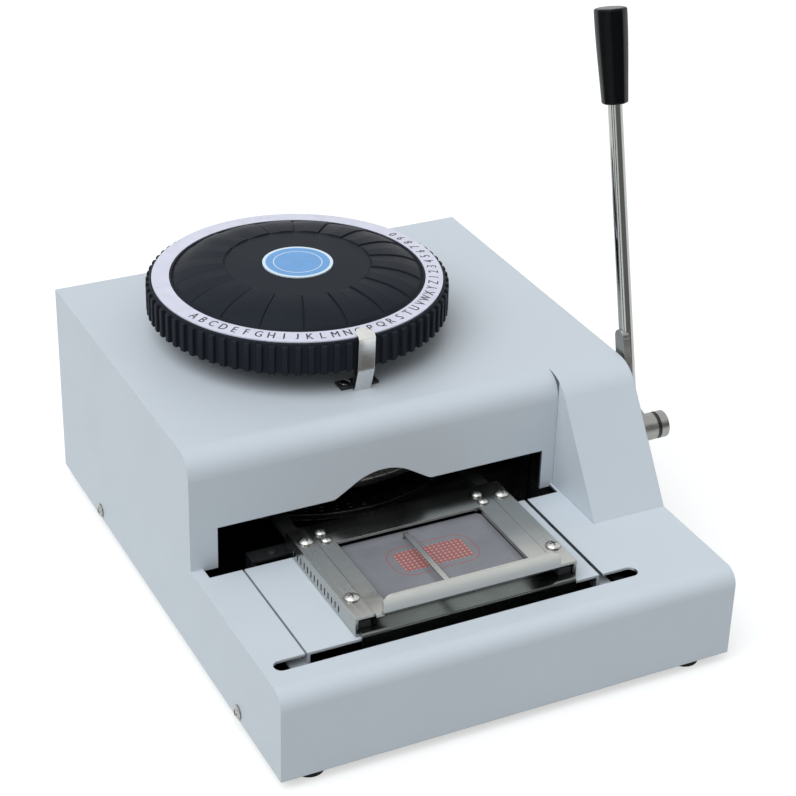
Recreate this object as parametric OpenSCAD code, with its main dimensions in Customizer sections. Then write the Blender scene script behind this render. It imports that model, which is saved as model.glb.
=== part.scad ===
// Plastic card embosser: a bench machine that presses raised characters into a plastic card.
// X runs to the right as the user sits, Y to the rear and Z up. The machine stands on Z = 0.
// Inside the modules X and Y are measured from the casing's front left corner.

/* [Casing] */
// Width of the painted casing
casing_w = 260; // [256:1:320]
// Depth from the front apron to the rear edge
casing_d = 328; // [327:1:400]
// Height of the low front deck above the table
deck_h = 57; // [57:0.1:69]
// Height of the flat top above the deck
upper_h = 67; // [66:0.5:74]
// Distance from the front apron to the upright front face
face_y = 117; // [117:0.5:119]
// Thickness of the painted sheet
sheet = 1.5; // [1:0.1:2]
// Outer radius of the bend at the front of the deck
deck_bend_r = 9; // [4:0.5:14]
// Outer radius of the bend between the front face and the top
face_bend_r = 13; // [6:0.5:16]
// Gap between the casing's lower edge and the table
ground_gap = 6; // [4:0.5:8]
// Left side of the sloping lever housing
housing_x = 215.7; // [212:0.1:217]
// Foot of the sloping lever housing on the deck
housing_foot_y = 71; // [60:0.5:72]
// Lean of the lever housing's front, from upright
housing_lean = 34; // [30:0.5:36]
// Radius where the sloping front meets the top
housing_bend_r = 20; // [10:1:24]

/* [Openings] */
// Left edge of the card opening in the front face
opening_x0 = 15.4; // [12:0.1:16]
// Right edge of the card opening
opening_x1 = 207.7; // [206:0.1:209]
// Height of the card opening above the deck
opening_h = 23; // [22.5:0.5:28]
// Half width of the arch above the type wheel
arch_half_w = 30; // [28:0.5:34]
// Rise of the arch
arch_rise = 12.3; // [11:0.1:13]
// Left end of the slot at the front of the deck
slot_x0 = 6.7; // [5:0.1:12]
// Right end of the slot
slot_x1 = 213; // [208:0.5:216]
// Front edge of the slot
slot_y0 = 19.7; // [18:0.1:21]
// Rear edge of the slot
slot_y1 = 27.9; // [27:0.1:29]

/* [Bridge panel] */
// Left edge of the raised panel between the slot and the face
bridge_x0 = 26.4; // [24:0.1:30]
// Right edge of the panel
bridge_x1 = 192.8; // [188:0.1:194]
// Gap between the panel and the deck beside it
bridge_gap = 1.2; // [0.6:0.1:2]
// Gap between the panel's rear edge and the front face
bridge_rear_gap = 9; // [8:0.5:9]
// Depth of the panel's side walls
bridge_wall = 7.5; // [4:0.5:9]
// Width of the flanges at the foot of its side walls
bridge_flange = 10; // [8:0.5:12]

/* [Dial] */
// Distance of the spindle from the left side
spindle_x = 110.6; // [109.6:0.1:113]
// Distance of the spindle from the front apron
spindle_y = 230.6; // [230:0.1:231]
// Radius of the dial over its grip ribs
dial_r = 84.5; // [70:0.1:85]
// Height of the ribbed rim
dial_rim_h = 17.7; // [12:0.1:20]
// Gap between the rim and the casing's top
dial_lift = 13.8; // [8:0.2:20]
// Number of characters on the dial and on each type wheel
characters = 70; // [36:2:72]
// Number of grip ribs round the dial's rim
ribs = 76; // [60:1:90]
// Width of the black edge outside the character ring
ring_margin = 3.3; // [3:0.1:6]
// Width of the character ring
ring_w = 9.8; // [8:0.1:12]
// Radius of the raised centre of the dial
dial_centre_r = 39.2; // [30:0.1:50]
// Rise from the character ring to the dial's centre
dial_crown = 7.5; // [4:0.5:12]
// Radius of the round badge at the centre
badge_r = 19.7; // [14:0.1:24]
// Number of sloping sectors between centre and ring
sectors = 18; // [12:1:24]

/* [Type wheels] */
// Radius of the two type wheels
wheel_r = 94; // [88:0.5:94]
// Thickness of a type wheel's disc
wheel_t = 3.2; // [2.4:0.1:3.6]
// Gap between the card frame's top and the upper type wheel
wheel_gap = 3; // [3:0.1:3.6]
// Radius of the circle of punches
punch_circle_r = 89; // [84:0.5:91]
// Length of one punch
punch_l = 5.7; // [4:0.1:6]
// Radius of the spindle
spindle_r = 8; // [6:0.1:9.6]

/* [Press] */
// Depth of the upper press shaft below the casing's top
shaft_depth = 16; // [16:0.5:18]
// Height of the lower press shaft above the table
lower_shaft_z = 20; // [20:0.5:21]
// Radius of the press shafts and of the lever shaft inside the casing
shaft_r = 5; // [4:0.1:5]
// Radius of the round back of each cam
cam_r = 9; // [8:0.1:9]
// Travel of each ram over the lever's whole swing
ram_travel = 4.5; // [3:0.1:4.5]
// Width of the square rams
ram_w = 8; // [6:0.2:9]
// Length of the cranks that the links join
crank_l = 11; // [9:0.5:12]

/* [Lever] */
// Distance of the lever shaft from the front apron
lever_y = 103.6; // [102:0.1:105]
// Drop from the upper press shaft to the lever shaft
lever_drop = 19.3; // [19:0.1:22]
// Radius of the shaft's visible end
lever_hub_r = 7.6; // [6:0.1:7.8]
// Reach of the shaft beyond the casing
lever_reach = 16.6; // [14:0.1:20]
// Swing of the lever from rest to the end of its pull
lever_swing = 60; // [30:1:60]
// Radius of the chrome rod
rod_r = 4; // [3:0.1:4.5]
// Lean of the rod to the rear at rest
rod_lean = 13.5; // [8:0.1:16]
// Length of the bare rod up to the grip
rod_l = 171; // [120:1:180]
// Length of the grip
grip_l = 52; // [40:1:70]
// Radius of the grip at its foot
grip_r0 = 7.4; // [6:0.1:9]
// Radius of the grip near its top
grip_r1 = 9; // [7:0.1:11]

/* [Card carriage] */
// Left side of the card frame at rest
frame_x0 = 53.2; // [52:0.1:54]
// Right side of the card frame at rest
frame_x1 = 179.5; // [178:0.1:180]
// Front end of the side channels
frame_y0 = 30; // [29:0.1:31]
// Rear end of the side channels at rest
frame_y1 = 116.4; // [114:0.1:116.4]
// Height of the side channels
frame_h = 10.6; // [10.4:0.1:10.6]
// Thickness of the stainless sheet
steel = 1.5; // [1.2:0.1:1.5]
// Width of the top flange of each side channel
channel_w = 10.5; // [9.5:0.1:11]
// Height of the lip at the front of the card frame
lip_h = 11.6; // [9:0.1:11.6]
// Distance between two character positions
character_pitch = 2.54; // [2.5:0.01:2.6]
// Character positions to the left of rest
steps_left = 14; // [8:1:14]
// Character positions to the right of rest
steps_right = 10; // [6:1:10]
// Distance between two lines on the card
line_pitch = 4.233; // [4:0.001:4.233]
// Number of line slots in the left channel
line_slots = 14; // [10:1:14]
// Whole front to back travel of the card frame
frame_travel = 98; // [80:1:98]

/* [Card] */
// Length of the card
card_l = 85.6; // [85.6:0.1:85.6]
// Width of the card
card_w = 54; // [54:0.1:54]
// Thickness of the card
card_t = 0.76; // [0.76:0.01:0.76]
// Clearance between the card and what guides it
card_gap = 0.3; // [0.2:0.05:0.4]

/* [Clearances] */
// Radial clearance of a running fit
run_gap = 0.05; // [0.02:0.01:0.1]
// Gap between parts that slide past each other
slide_gap = 0.5; // [0.3:0.1:0.6]
// Radial clearance of a screw in its hole
screw_gap = 0.1; // [0.05:0.05:0.3]

/* [Hidden] */
$fn = 64;
eps = 0.01;
seat_gap = 0.05;

// Casing, base and feet
top_h = deck_h + upper_h;
opening_top = deck_h + opening_h;
frame_bottom = deck_h + 0.6;
frame_top = frame_bottom + frame_h;
base_t = 2;
base_z = ground_gap;
floor_z = base_z + base_t;
base_wall_h = 16;
base_inset = sheet + 0.4;
base_y1 = casing_d - 2 * sheet - 0.3;
side_screw_z = 11;
side_screw_y = [54, 262];
rear_screw_x = [20, casing_w - 20];
rear_screw_z = [18, top_h - 14];
m4_r = 2;
m4_head_r = 3.9;
m4_head_h = 2.2;
m3_r = 1.5;
m3_head_r = 2.9;
m3_head_h = 1.9;
foot_r = 9;
foot_inset = [20, 12];
foot_places = [for (x = [foot_inset[0], casing_w - foot_inset[0]],
                    y = [foot_inset[1], casing_d - foot_inset[1]]) [x, y]];
deck_under = deck_h - sheet;
top_under = top_h - sheet;
arc_step = 0.03;
arch_x = spindle_x - 0.4;
arch_slope = 32;
arch_fillet_r = 6;
bridge_right_gap = bridge_gap + 0.8;
bridge_y0 = slot_y1;
bridge_y1 = face_y - bridge_rear_gap;
notch_x0 = opening_x0 - 8.4;
notch_x1 = opening_x1 + 6.3;
flange_top = deck_h - bridge_wall;
bridge_post_r = 4;
sill_x = [opening_x0 + 20, opening_x0 + 44];
sill_w = 10;
sill_top = deck_under - 3;
sill_screw_x = opening_x0 + 33;
bridge_posts_at = [for (x = [bridge_x0 - bridge_flange / 2 + sheet / 2, bridge_x1 + bridge_flange / 2 - sheet / 2],
                        y = [48, 88]) [x, y]];

// Spindle and dial
spindle_hole_r = spindle_r + 4;
dial_z0 = top_h + dial_lift;
dial_z1 = dial_z0 + dial_rim_h;
ring_r1 = dial_r - ring_margin;
ring_r0 = ring_r1 - ring_w;
ring_t = 0.8;
ring_slope = 0.6;
rib_h = 2;
rib_w = 3;
dial_wall = 3;
dial_edge = 0.6;
ring_seat = 0.2;
lip_w = 1;
step_w = 1.2;
step_h = 0.5;
// Dome between the ring and the raised centre: part of the way in, part of the rise
dome = [[0, 0], [0.06, 0.2], [0.25, 0.62], [0.45, 0.9], [0.65, 1], [1, 1]];
crown_z = dial_z1 + ring_slope + dial_crown;
hub_r = 2 * spindle_r;
badge_t = 1.2;
badge_gap = 0.3;
// Angle from the spindle to the rams, where a punch always stands
ram_turn = -90;
nut_r = spindle_r + 1;
nut_h = 5;
pointer_x = spindle_x + 1.8;
pointer_w = 9.7;
pointer_t = 0.9;
pointer_y = spindle_y - dial_r - 1.4;
pointer_top = dial_z1 + 3.2;
pointer_path = [[pointer_y + 3.5, top_h], [pointer_y + 3.5, top_h + 1.6], [pointer_y, top_h + 13],
                [pointer_y - 0.8, pointer_top - 2], [pointer_y + 0.8, pointer_top], [pointer_y + 4, pointer_top]];
pointer_tip_y = pointer_y + 8.8;
pointer_taper = 2.7;
pointer_foot_t = 1.5;
pointer_foot_x = [pointer_x - 11.3, pointer_x + 11];
pointer_foot_y = [pointer_y + 6.8, pointer_y + 15.4];
pointer_screws_at = [for (dx = [-7.2, 5.6]) [pointer_x + dx, pointer_y + 11.3]];

// Type wheels and what turns with them
lower_wheel_z = deck_h;
upper_wheel_z = frame_top + wheel_gap;
bearing_t = 8;
bearing_r = spindle_r + 6;
upper_wheel_top = upper_wheel_z + wheel_t;
lower_wheel_bottom = lower_wheel_z - wheel_t;
wheel_hub_r = spindle_r + 12;
wheel_hub_h = 10;
sleeve_r = spindle_r + 3;
finger_t = 0.6;
finger_gap = 0.9;
finger_cut = 14;
punch_w = [2.2, 3.4];
index_r = 30;
index_t = 4;
index_depth = 1.2;
detent_pin_r = 1.5;
detent_post_at = [spindle_x + index_r + 4.9, spindle_y + 30];
top_plate_z = top_h - 12;
top_plate_t = 4;
index_z = top_plate_z - 20;
column_r = 4;
columns_at = [[9.5, spindle_y - 8], [12, casing_d - 12], [casing_w - 10, casing_d - 12], [casing_w - 10, 186]];

// Press
emboss_y = spindle_y - punch_circle_r;
upper_shaft_z = top_h - shaft_depth;
lever_z = upper_shaft_z - lever_drop;
upper_arm_z = [upper_wheel_top + 10.6, top_under - 2];
lower_arm_z = [floor_z, lower_wheel_z - 14];
ram_guide_h = 9;
arm_lug_t = 7;
arm_lug_x = [spindle_x - 20, spindle_x + 13];
arm_web_y = [emboss_y + 18, emboss_y + 26];
arm_x1 = 221;
side_plate_x = [arm_x1, arm_x1 + 5];
ram_gap = 0.15;
ram_seat_gap = 0.3;
nose_r = 1.5;
nose_h = 2.2;
upper_ram_z = [upper_wheel_z + punch_l + ram_seat_gap + ram_travel, upper_shaft_z - cam_r - ram_seat_gap];
lower_ram_z = [lower_shaft_z + cam_r + ram_seat_gap, lower_wheel_z - punch_l - ram_seat_gap - ram_travel];
cam_steps = 24;
link_eye_r = 4.8;
link_web = 7;
crank_hub_r = 7;
crank_eye_r = 4.5;
crank_web = 7.6;
pin_r = 2.5;
cross_link_x = [214.2, 218.2];
cross_crank_x = [208.2, 213.9];
drive_link_x = [227.5, 231.5];
drive_crank_x = [231.8, 238];
link_dy = emboss_y - lever_y;
link_dz = upper_shaft_z - lever_z;
link_angle = atan2(link_dz, link_dy);
link_l = norm([link_dy, link_dz]);
drive_crank_angle = link_angle - 90 - lever_swing / 2;
cross_crank_angle = -lever_swing / 2;

// Lever
lever_bracket_x = [[219, 223], [251, 255]];
lever_eye_r = 7;
hub_x = [casing_w + 1, casing_w + 9.6];
band_x = [hub_x[1], hub_x[1] + 2];
shaft_end_x = casing_w + lever_reach;
arm_plate_x = [casing_w + 1.6, casing_w + 5.6];
rod_x = casing_w + 6.5;
rod_foot = [lever_y + 18.7, lever_z + 3.8];
arm_knee = [rod_foot[0] - 0.8, rod_foot[1] + 2];
arm_end = [arm_knee[0] + 10, arm_knee[1] + 38];
arm_end_r = 4.3;
arm_knee_r = 6;

// Card carriage, moving left and right
flange_under = frame_top - steel;
tray_t = 1.2;
channel_foot = 3.8;
foot_t = 1.2;
tray_x0 = frame_x0 + steel + slide_gap;
tray_x1 = frame_x1 - steel - slide_gap;
tray_y0 = slot_y1 - 2;
tray_y1 = face_y - 3;
tray_top = frame_bottom + foot_t + 0.3 + tray_t;
tray_bend_r = 1.8;
pan_t = 0.7;
pan_lap = 0.2;
pan_rim = 1;
pan_z = tray_top - tray_t;
tray_pan_r = 8;
tray_pan = [[frame_x0 + 12.3, tray_y0 + 0.6], [frame_x1 - 9.5, tray_y1 - 6]];
rail_w = 7.3;
rail_h = 3.9;
rail_y1 = 205;
guide_z = deck_h - 17;
guide_r = 4;
block_h = [guide_z - 7, guide_z + 7];
guide_y = [tray_y0 + tray_t + 7.5, tray_y1 - tray_t - 8];
block_half = 7.5;
block_x = [92, 140];
tray_rear_x = [block_x[0] - 10, block_x[1] + 10];
bush_t = 1.5;
yoke_x = [108, 124];
yoke_z = [guide_z - 7, guide_z - 3];
guide_x = [5, 211];
rack_y = [60, 68];
rack_z = [guide_z + 6, guide_z + 10];
rack_x = [66, 160];
rack_notch = 1.5;
rack_depth = 2;
pawl_pivot = [128, guide_z];
pawl_tip_w = 0.8;
detent_y = frame_y0 + 20 + frame_travel;
detent_r = 1;

// Card frame, moving front to back on the carriage
window_x0 = 73.3;
window_x1 = 157.8;
window_y1 = 96.4;
lip_y = frame_y0 - 2;
lip_x = [frame_x0 + 14.2, frame_x1 - 11];
lip_corner_r = 5;
tongue_l = 1.6;
slot_first_y = frame_y0 + 20;
line_slot = [1.4, 4];
line_slot_z = frame_bottom + 3.7;
detent_z = line_slot_z + 0.6;
card_x0 = (window_x0 + window_x1) / 2 - card_l / 2;
card_y0 = window_y1 + 0.6 - card_w;
card_depth = 2.4;
card_z0 = flange_under - card_depth - card_t;
card_corner_r = 3.18;
ledge_w = 3;
ledge_t = 1.2;
channel_screws = [for (x = [frame_x0 + 5.8, frame_x1 - 4.4], y = [47, 103]) [x, y]];
frame_screws_at = [for (x = [69.2, 162.2], y = [100, 107.5]) [x, y]];
corner_plate_t = 2;
corner_plate_x = [[frame_x0 + 2, window_x0 + 1.7], [window_x1 - 1.7, frame_x1 - 2]];
corner_plate_y = [window_y1 + 1, window_y1 + 15.6];
ledge_wall = 1.6;
strip_x = [109, 112];
strip_y = [frame_y0 + eps, window_y1 - 6];
strip_t = 0.4;
strip_top = frame_top - 0.2;

// The origin lies below the middle of the whole machine's outline
origin_x = (shaft_end_x - m4_head_h) / 2;
origin_y = (casing_d + m4_head_h) / 2;

// ---------- shared shapes ----------

// A box between two limits on each axis
module block(x, y, z) {
    translate([x[0], y[0], z[0]]) cube([x[1] - x[0], y[1] - y[0], z[1] - z[0]]);
}

// A round bar along X
module bar_x(x, y, z, r) {
    translate([x[0], y, z]) rotate([0, 90, 0]) cylinder(r = r, h = x[1] - x[0]);
}

// A round bar along Z
module bar_z(x, y, z, r) {
    translate([x, y, z[0]]) cylinder(r = r, h = z[1] - z[0]);
}

// An outline in Y and Z, extruded along X
module along_x(x) {
    translate([x[0], 0, 0]) rotate([90, 0, 90]) linear_extrude(x[1] - x[0]) children();
}

// An outline in X and Z, extruded along Y
module along_y(y) {
    translate([0, y[1], 0]) rotate([90, 0, 0]) linear_extrude(y[1] - y[0]) children();
}

// A rectangle with four round corners
module round_rect(low, high, r) {
    for (x = [low[0] + r, high[0] - r], y = [low[1] + r, high[1] - r]) translate([x, y]) circle(r);
    translate([low[0] + r, low[1]]) square([high[0] - low[0] - 2 * r, high[1] - low[1]]);
    translate([low[0], low[1] + r]) square([high[0] - low[0], high[1] - low[1] - 2 * r]);
}

// A cross-head screw standing on z = 0, with its shank below
module screw(head_r, head_h, shank_r, shank_l) {
    difference() {
        intersection() {
            cylinder(r = head_r, h = head_h);
            translate([0, 0, head_h - head_r * 1.6]) sphere(r = head_r * 1.6);
        }
        for (turn = [0, 90]) rotate([0, 0, turn])
            translate([-head_r * 0.55, -head_r * 0.1, head_h * 0.55]) cube([head_r * 1.1, head_r * 0.2, head_h]);
    }
    translate([0, 0, -shank_l]) cylinder(r = shank_r, h = shank_l);
}

module m4_screw(shank_l) { screw(m4_head_r, m4_head_h, m4_r, shank_l); }
module m3_screw(shank_l) { screw(m3_head_r, m3_head_h, m3_r, shank_l); }

// ---------- casing and base ----------

// Side outline of the casing, drawn in by the given amount
module casing_outline(inset) {
    front_r = deck_bend_r - inset;
    face_r = face_bend_r - inset;
    low = inset > 0 ? ground_gap - 1 : ground_gap;
    back = inset > 0 ? casing_d + 1 : casing_d;
    translate([deck_bend_r, deck_h - deck_bend_r]) circle(front_r);
    translate([inset, low]) square([back - inset, deck_h - deck_bend_r - low]);
    translate([deck_bend_r, low]) square([back - deck_bend_r, deck_h - inset - low]);
    translate([face_y + face_bend_r, top_h - face_bend_r]) circle(face_r);
    translate([face_y + inset, low]) square([back - face_y - inset, top_h - face_bend_r - low]);
    translate([face_y + face_bend_r, low]) square([back - face_y - face_bend_r, top_h - inset - low]);
}

// Side outline of the sloping lever housing, drawn in by the given amount
module housing_outline(inset) {
    foot = housing_foot_y + inset / cos(housing_lean);
    head_z = top_h - inset;
    head_y = foot + (head_z - deck_h) * tan(housing_lean);
    reach = (housing_bend_r - inset) * tan((90 - housing_lean) / 2);
    low = inset > 0 ? deck_h - sheet - 1 : deck_h - sheet;
    translate([head_y + reach, top_h - housing_bend_r]) circle(housing_bend_r - inset);
    polygon([[foot + (low - deck_h) * tan(housing_lean), low],
             [head_y - reach * sin(housing_lean), head_z - reach * cos(housing_lean)],
             [head_y + reach, top_h - housing_bend_r],
             [head_y + reach, head_z],
             [face_y + face_bend_r + 4, head_z],
             [face_y + face_bend_r + 4, low]]);
}

// The card opening in the front face, with its arch over the type wheel: one arc with straight flanks,
// which small fillets join to the opening's upper edge. The pieces overlap by arc_step, so they meet cleanly
module opening_outline() {
    rise = arch_rise;
    crest_r = (arch_half_w * sin(arch_slope) - rise * cos(arch_slope)) / (1 - cos(arch_slope)) - arch_fillet_r;
    crest = [crest_r * sin(arch_slope), rise - crest_r * (1 - cos(arch_slope))];
    fillet = [arch_fillet_r * sin(arch_slope), arch_fillet_r * (1 - cos(arch_slope))];
    foot_x = arch_half_w - fillet[0];
    low = -1;
    translate([opening_x0, deck_under - 1]) square([opening_x1 - opening_x0, opening_top - deck_under + 1]);
    translate([arch_x, opening_top]) {
        intersection() {
            translate([0, rise - crest_r]) circle(crest_r);
            translate([-crest[0] - 1, low]) square([2 * crest[0] + 2, rise + 2]);
        }
        polygon([[-foot_x, low], [-foot_x, fillet[1] - arc_step], [-crest[0], crest[1] - arc_step],
                 [crest[0], crest[1] - arc_step], [foot_x, fillet[1] - arc_step], [foot_x, low]]);
        for (side = [-1, 1]) difference() {
            translate([side > 0 ? foot_x - 1 : -arch_half_w, low])
                square([fillet[0] + 1, fillet[1] - 2 * arc_step - low]);
            translate([side * arch_half_w, arch_fillet_r]) circle(arch_fillet_r + arc_step);
        }
    }
}

module deck_openings() {
    deck = [deck_under - 1, deck_h + 1];
    slot_r = (slot_y1 - slot_y0) / 2;
    translate([0, 0, deck[0]]) linear_extrude(deck[1] - deck[0]) {
        round_rect([slot_x0, slot_y0], [slot_x1, slot_y1], slot_r - eps);
        translate([bridge_x0 - bridge_gap, slot_y1 - slot_r])
            square([bridge_x1 - bridge_x0 + bridge_gap + bridge_right_gap, bridge_y1 - slot_y1 + slot_r + 1]);
        translate([notch_x0, bridge_y1]) square([notch_x1 - notch_x0, face_y - bridge_y1 + eps]);
    }
}

// Tabs inside the rear corners that the rear panel is screwed to
module rear_tabs() {
    for (z = rear_screw_z, side = [0, 1]) {
        x = rear_screw_x[side];
        wall = side == 0 ? [sheet - eps, x + 6] : [x - 6, casing_w - sheet + eps];
        difference() {
            block(wall, [casing_d - 2 * sheet, casing_d - sheet], [z - 6, z + 6]);
            translate([x, casing_d, z]) rotate([90, 0, 0]) cylinder(r = m4_r + screw_gap, h = 8);
        }
    }
}

module casing() {
    color("lightsteelblue") rear_tabs();
    color("lightsteelblue") difference() {
        union() {
            along_x([0, casing_w]) casing_outline(0);
            along_x([housing_x, casing_w]) housing_outline(0);
        }
        along_x([sheet, casing_w - sheet]) casing_outline(sheet);
        along_x([housing_x + sheet, casing_w - sheet]) housing_outline(sheet);
        along_y([face_y - 1, face_y + sheet + 1]) opening_outline();
        deck_openings();
        bar_z(spindle_x, spindle_y, [top_under - 1, top_h + 1], spindle_hole_r);
        bar_x([casing_w - sheet - 1, casing_w + 1], lever_y, lever_z, shaft_r + 0.6);
        for (y = side_screw_y) bar_x([-1, casing_w + 1], y, side_screw_z, m4_r + screw_gap);
        for (p = pointer_screws_at) bar_z(p[0], p[1], [top_under - 1, top_h + 1], m3_r + screw_gap);
    }
}

module base_tray() {
    color("dimgray") difference() {
        union() {
            block([base_inset, casing_w - base_inset], [base_inset, base_y1], [base_z, floor_z]);
            for (x = [base_inset, casing_w - base_inset - base_t])
                block([x, x + base_t], [base_inset, base_y1], [base_z, base_z + base_wall_h]);
            block([base_inset, casing_w - base_inset], [base_inset, base_inset + base_t],
                  [base_z, base_z + base_wall_h]);
        }
        for (y = side_screw_y) bar_x([-1, casing_w + 1], y, side_screw_z, m4_r + screw_gap);
        for (p = foot_places) bar_z(p[0], p[1], [base_z - 1, floor_z + 1], m4_r + screw_gap);
    }
}

module rubber_feet() {
    color("black") for (p = foot_places) translate([p[0], p[1], 0]) difference() {
        cylinder(r1 = foot_r - 1, r2 = foot_r, h = base_z);
        translate([0, 0, -1]) cylinder(r = m4_head_r + 0.4, h = 4);
        translate([0, 0, -1]) cylinder(r = m4_r + screw_gap, h = base_z + 2);
    }
}

module foot_screws() {
    color("silver") for (p = foot_places) translate([p[0], p[1], 3]) mirror([0, 0, 1])
        m4_screw(base_z + base_t);
}

module rear_panel() {
    inner_w = casing_w - 2 * sheet - 0.6;
    color("lightsteelblue") difference() {
        translate([sheet + 0.3, casing_d - sheet, base_z + 1]) cube([inner_w, sheet, top_under - base_z - 1.3]);
        for (x = rear_screw_x, z = rear_screw_z) translate([x, casing_d + 1, z]) rotate([90, 0, 0])
            cylinder(r = m4_r + screw_gap, h = sheet + 2);
    }
}

module casing_screws() {
    color("silver") for (y = side_screw_y) {
        translate([0, y, side_screw_z]) rotate([0, -90, 0]) m4_screw(6);
        translate([casing_w, y, side_screw_z]) rotate([0, 90, 0]) m4_screw(6);
    }
}

module rear_screws() {
    color("silver") for (x = rear_screw_x, z = rear_screw_z)
        translate([x, casing_d, z]) rotate([-90, 0, 0]) m4_screw(5);
}

module bridge_panel() {
    y = [bridge_y0, bridge_y1];
    color("lightsteelblue") difference() {
        union() {
            block([bridge_x0, bridge_x1], y, [deck_under, deck_h]);
            block([bridge_x0, bridge_x0 + sheet], y, [flange_top - sheet, deck_h]);
            block([bridge_x1 - sheet, bridge_x1], y, [flange_top - sheet, deck_h]);
            block([bridge_x0 - bridge_flange + sheet, bridge_x0 + sheet], y, [flange_top - sheet, flange_top]);
            block([bridge_x1 - sheet, bridge_x1 + bridge_flange - sheet], y, [flange_top - sheet, flange_top]);
        }
        for (p = bridge_posts_at) bar_z(p[0], p[1], [flange_top - sheet - 1, flange_top + 1], m3_r + screw_gap);
    }
}

module bridge_posts() {
    color("silver") for (p = bridge_posts_at) difference() {
        bar_z(p[0], p[1], [floor_z, flange_top - sheet], bridge_post_r);
        bar_z(p[0], p[1], [flange_top - sheet - 8, flange_top], m3_r + screw_gap);
    }
}

module bridge_screws() {
    color("silver") for (p = bridge_posts_at) translate([p[0], p[1], flange_top]) m3_screw(6);
}

// Dark angle that stiffens the casing below the card opening
module sill_angle() {
    y = [face_y + sheet + 0.2, face_y + sheet + sill_w];
    color("dimgray") difference() {
        union() {
            block(sill_x, y, [sill_top - sheet, sill_top]);
            block([sill_x[0], sill_x[0] + sheet], y, [floor_z, sill_top]);
        }
        bar_z(sill_screw_x, face_y + sheet + sill_w / 2, [sill_top - 2 * sheet, sill_top + 1], m3_r + screw_gap);
    }
    color("silver") translate([sill_screw_x, face_y + sheet + sill_w / 2, sill_top]) m3_screw(4);
}

// ---------- dial ----------

module dial() {
    seat_z = dial_z1 + ring_slope;
    rim_r = dial_r - rib_h;
    dome_r = ring_r0 - ring_seat - lip_w - step_h;
    dome_z = seat_z - dial_edge;
    slope = [for (d = dome) [dome_r + d[0] * (dial_centre_r - dome_r), dome_z + d[1] * (crown_z - 1 - dome_z)]];
    bar = concat([0.5 * (slope[0] + slope[1])], [for (j = [1 : len(slope) - 2]) slope[j]],
                 [slope[len(slope) - 1] - [step_h, 0]]);
    color("black") translate([spindle_x, spindle_y, 0]) {
        rotate_extrude() polygon(concat([
            [spindle_r + run_gap, dial_z0 - 8], [hub_r, dial_z0 - 8], [hub_r, crown_z - dial_wall - 1],
            [dial_centre_r, crown_z - dial_wall - 1], [ring_r0 - 2, seat_z - dial_wall],
            [rim_r - dial_wall, dial_z1 - dial_wall], [rim_r - dial_wall, dial_z0],
            [rim_r, dial_z0], [rim_r, dial_z1 - dial_edge], [rim_r - dial_edge, dial_z1],
            [ring_r1 + ring_seat, dial_z1], [ring_r1 + ring_seat, dial_z1 - ring_seat],
            [ring_r0 - ring_seat, seat_z - ring_seat], [ring_r0 - ring_seat, seat_z + dial_edge],
            [ring_r0 - ring_seat - lip_w, seat_z + dial_edge]], slope, [
            [dial_centre_r, crown_z], [badge_r + badge_gap, crown_z],
            [badge_r + badge_gap, crown_z - 1], [nut_r + 2, crown_z - 1], [nut_r + 2, crown_z - nut_h - 2],
            [spindle_r + run_gap, crown_z - nut_h - 2]]));
        for (i = [0 : ribs - 1]) rotate([0, 0, i * 360 / ribs])
            translate([rim_r - ring_seat, -rib_w / 2, dial_z0])
                cube([rib_h + ring_seat, rib_w, dial_rim_h - 2 * dial_edge]);
        for (i = [0 : sectors - 1]) rotate([90, 0, i * 360 / sectors]) translate([0, 0, -step_w / 2])
            linear_extrude(step_w) polygon(concat(
                [for (p = bar) p + [0, step_h]], [for (j = [len(bar) - 1 : -1 : 0]) bar[j] - [0, step_h]]));
    }
}

module character_ring() {
    color("white") translate([spindle_x, spindle_y, 0]) rotate_extrude() polygon([
        [ring_r0, dial_z1 + ring_slope], [ring_r1, dial_z1],
        [ring_r1, dial_z1 + ring_t], [ring_r0, dial_z1 + ring_slope + ring_t]]);
}

module dial_badge() {
    color("skyblue") bar_z(spindle_x, spindle_y, [crown_z - 1, crown_z - 1 + badge_t], badge_r);
}

module dial_nut() {
    low = crown_z - nut_h - 2;
    color("silver") translate([spindle_x, spindle_y, low]) difference() {
        cylinder(r = nut_r, h = nut_h, $fn = 6);
        translate([0, 0, -1]) cylinder(r = spindle_r - 3 + run_gap, h = nut_h + 2);
    }
}

// Steel strip that rises before the rim and bends over the ring
module pointer() {
    half = pointer_w / 2;
    path = pointer_path;
    last = len(path) - 1;
    color("silver") translate([pointer_x, 0, 0]) {
        along_x([-half, half]) polygon([
            path[0], path[1], path[2], path[3], path[4], path[5],
            [path[5][0], path[5][1] - pointer_t], [path[4][0] + 0.4 * pointer_t, path[4][1] - pointer_t],
            [path[3][0] + pointer_t, path[3][1] - 0.4 * pointer_t], [path[2][0] + pointer_t, path[2][1]],
            [path[1][0] + pointer_t, path[1][1]], [path[0][0] + pointer_t, path[0][1]]]);
        translate([0, 0, pointer_top - pointer_t]) linear_extrude(pointer_t) polygon([
            [-half, path[last][0] - 0.5], [half, path[last][0] - 0.5],
            [half, path[last][0]], [half - pointer_taper, pointer_tip_y],
            [pointer_taper - half, pointer_tip_y], [-half, path[last][0]]]);
    }
}

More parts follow.
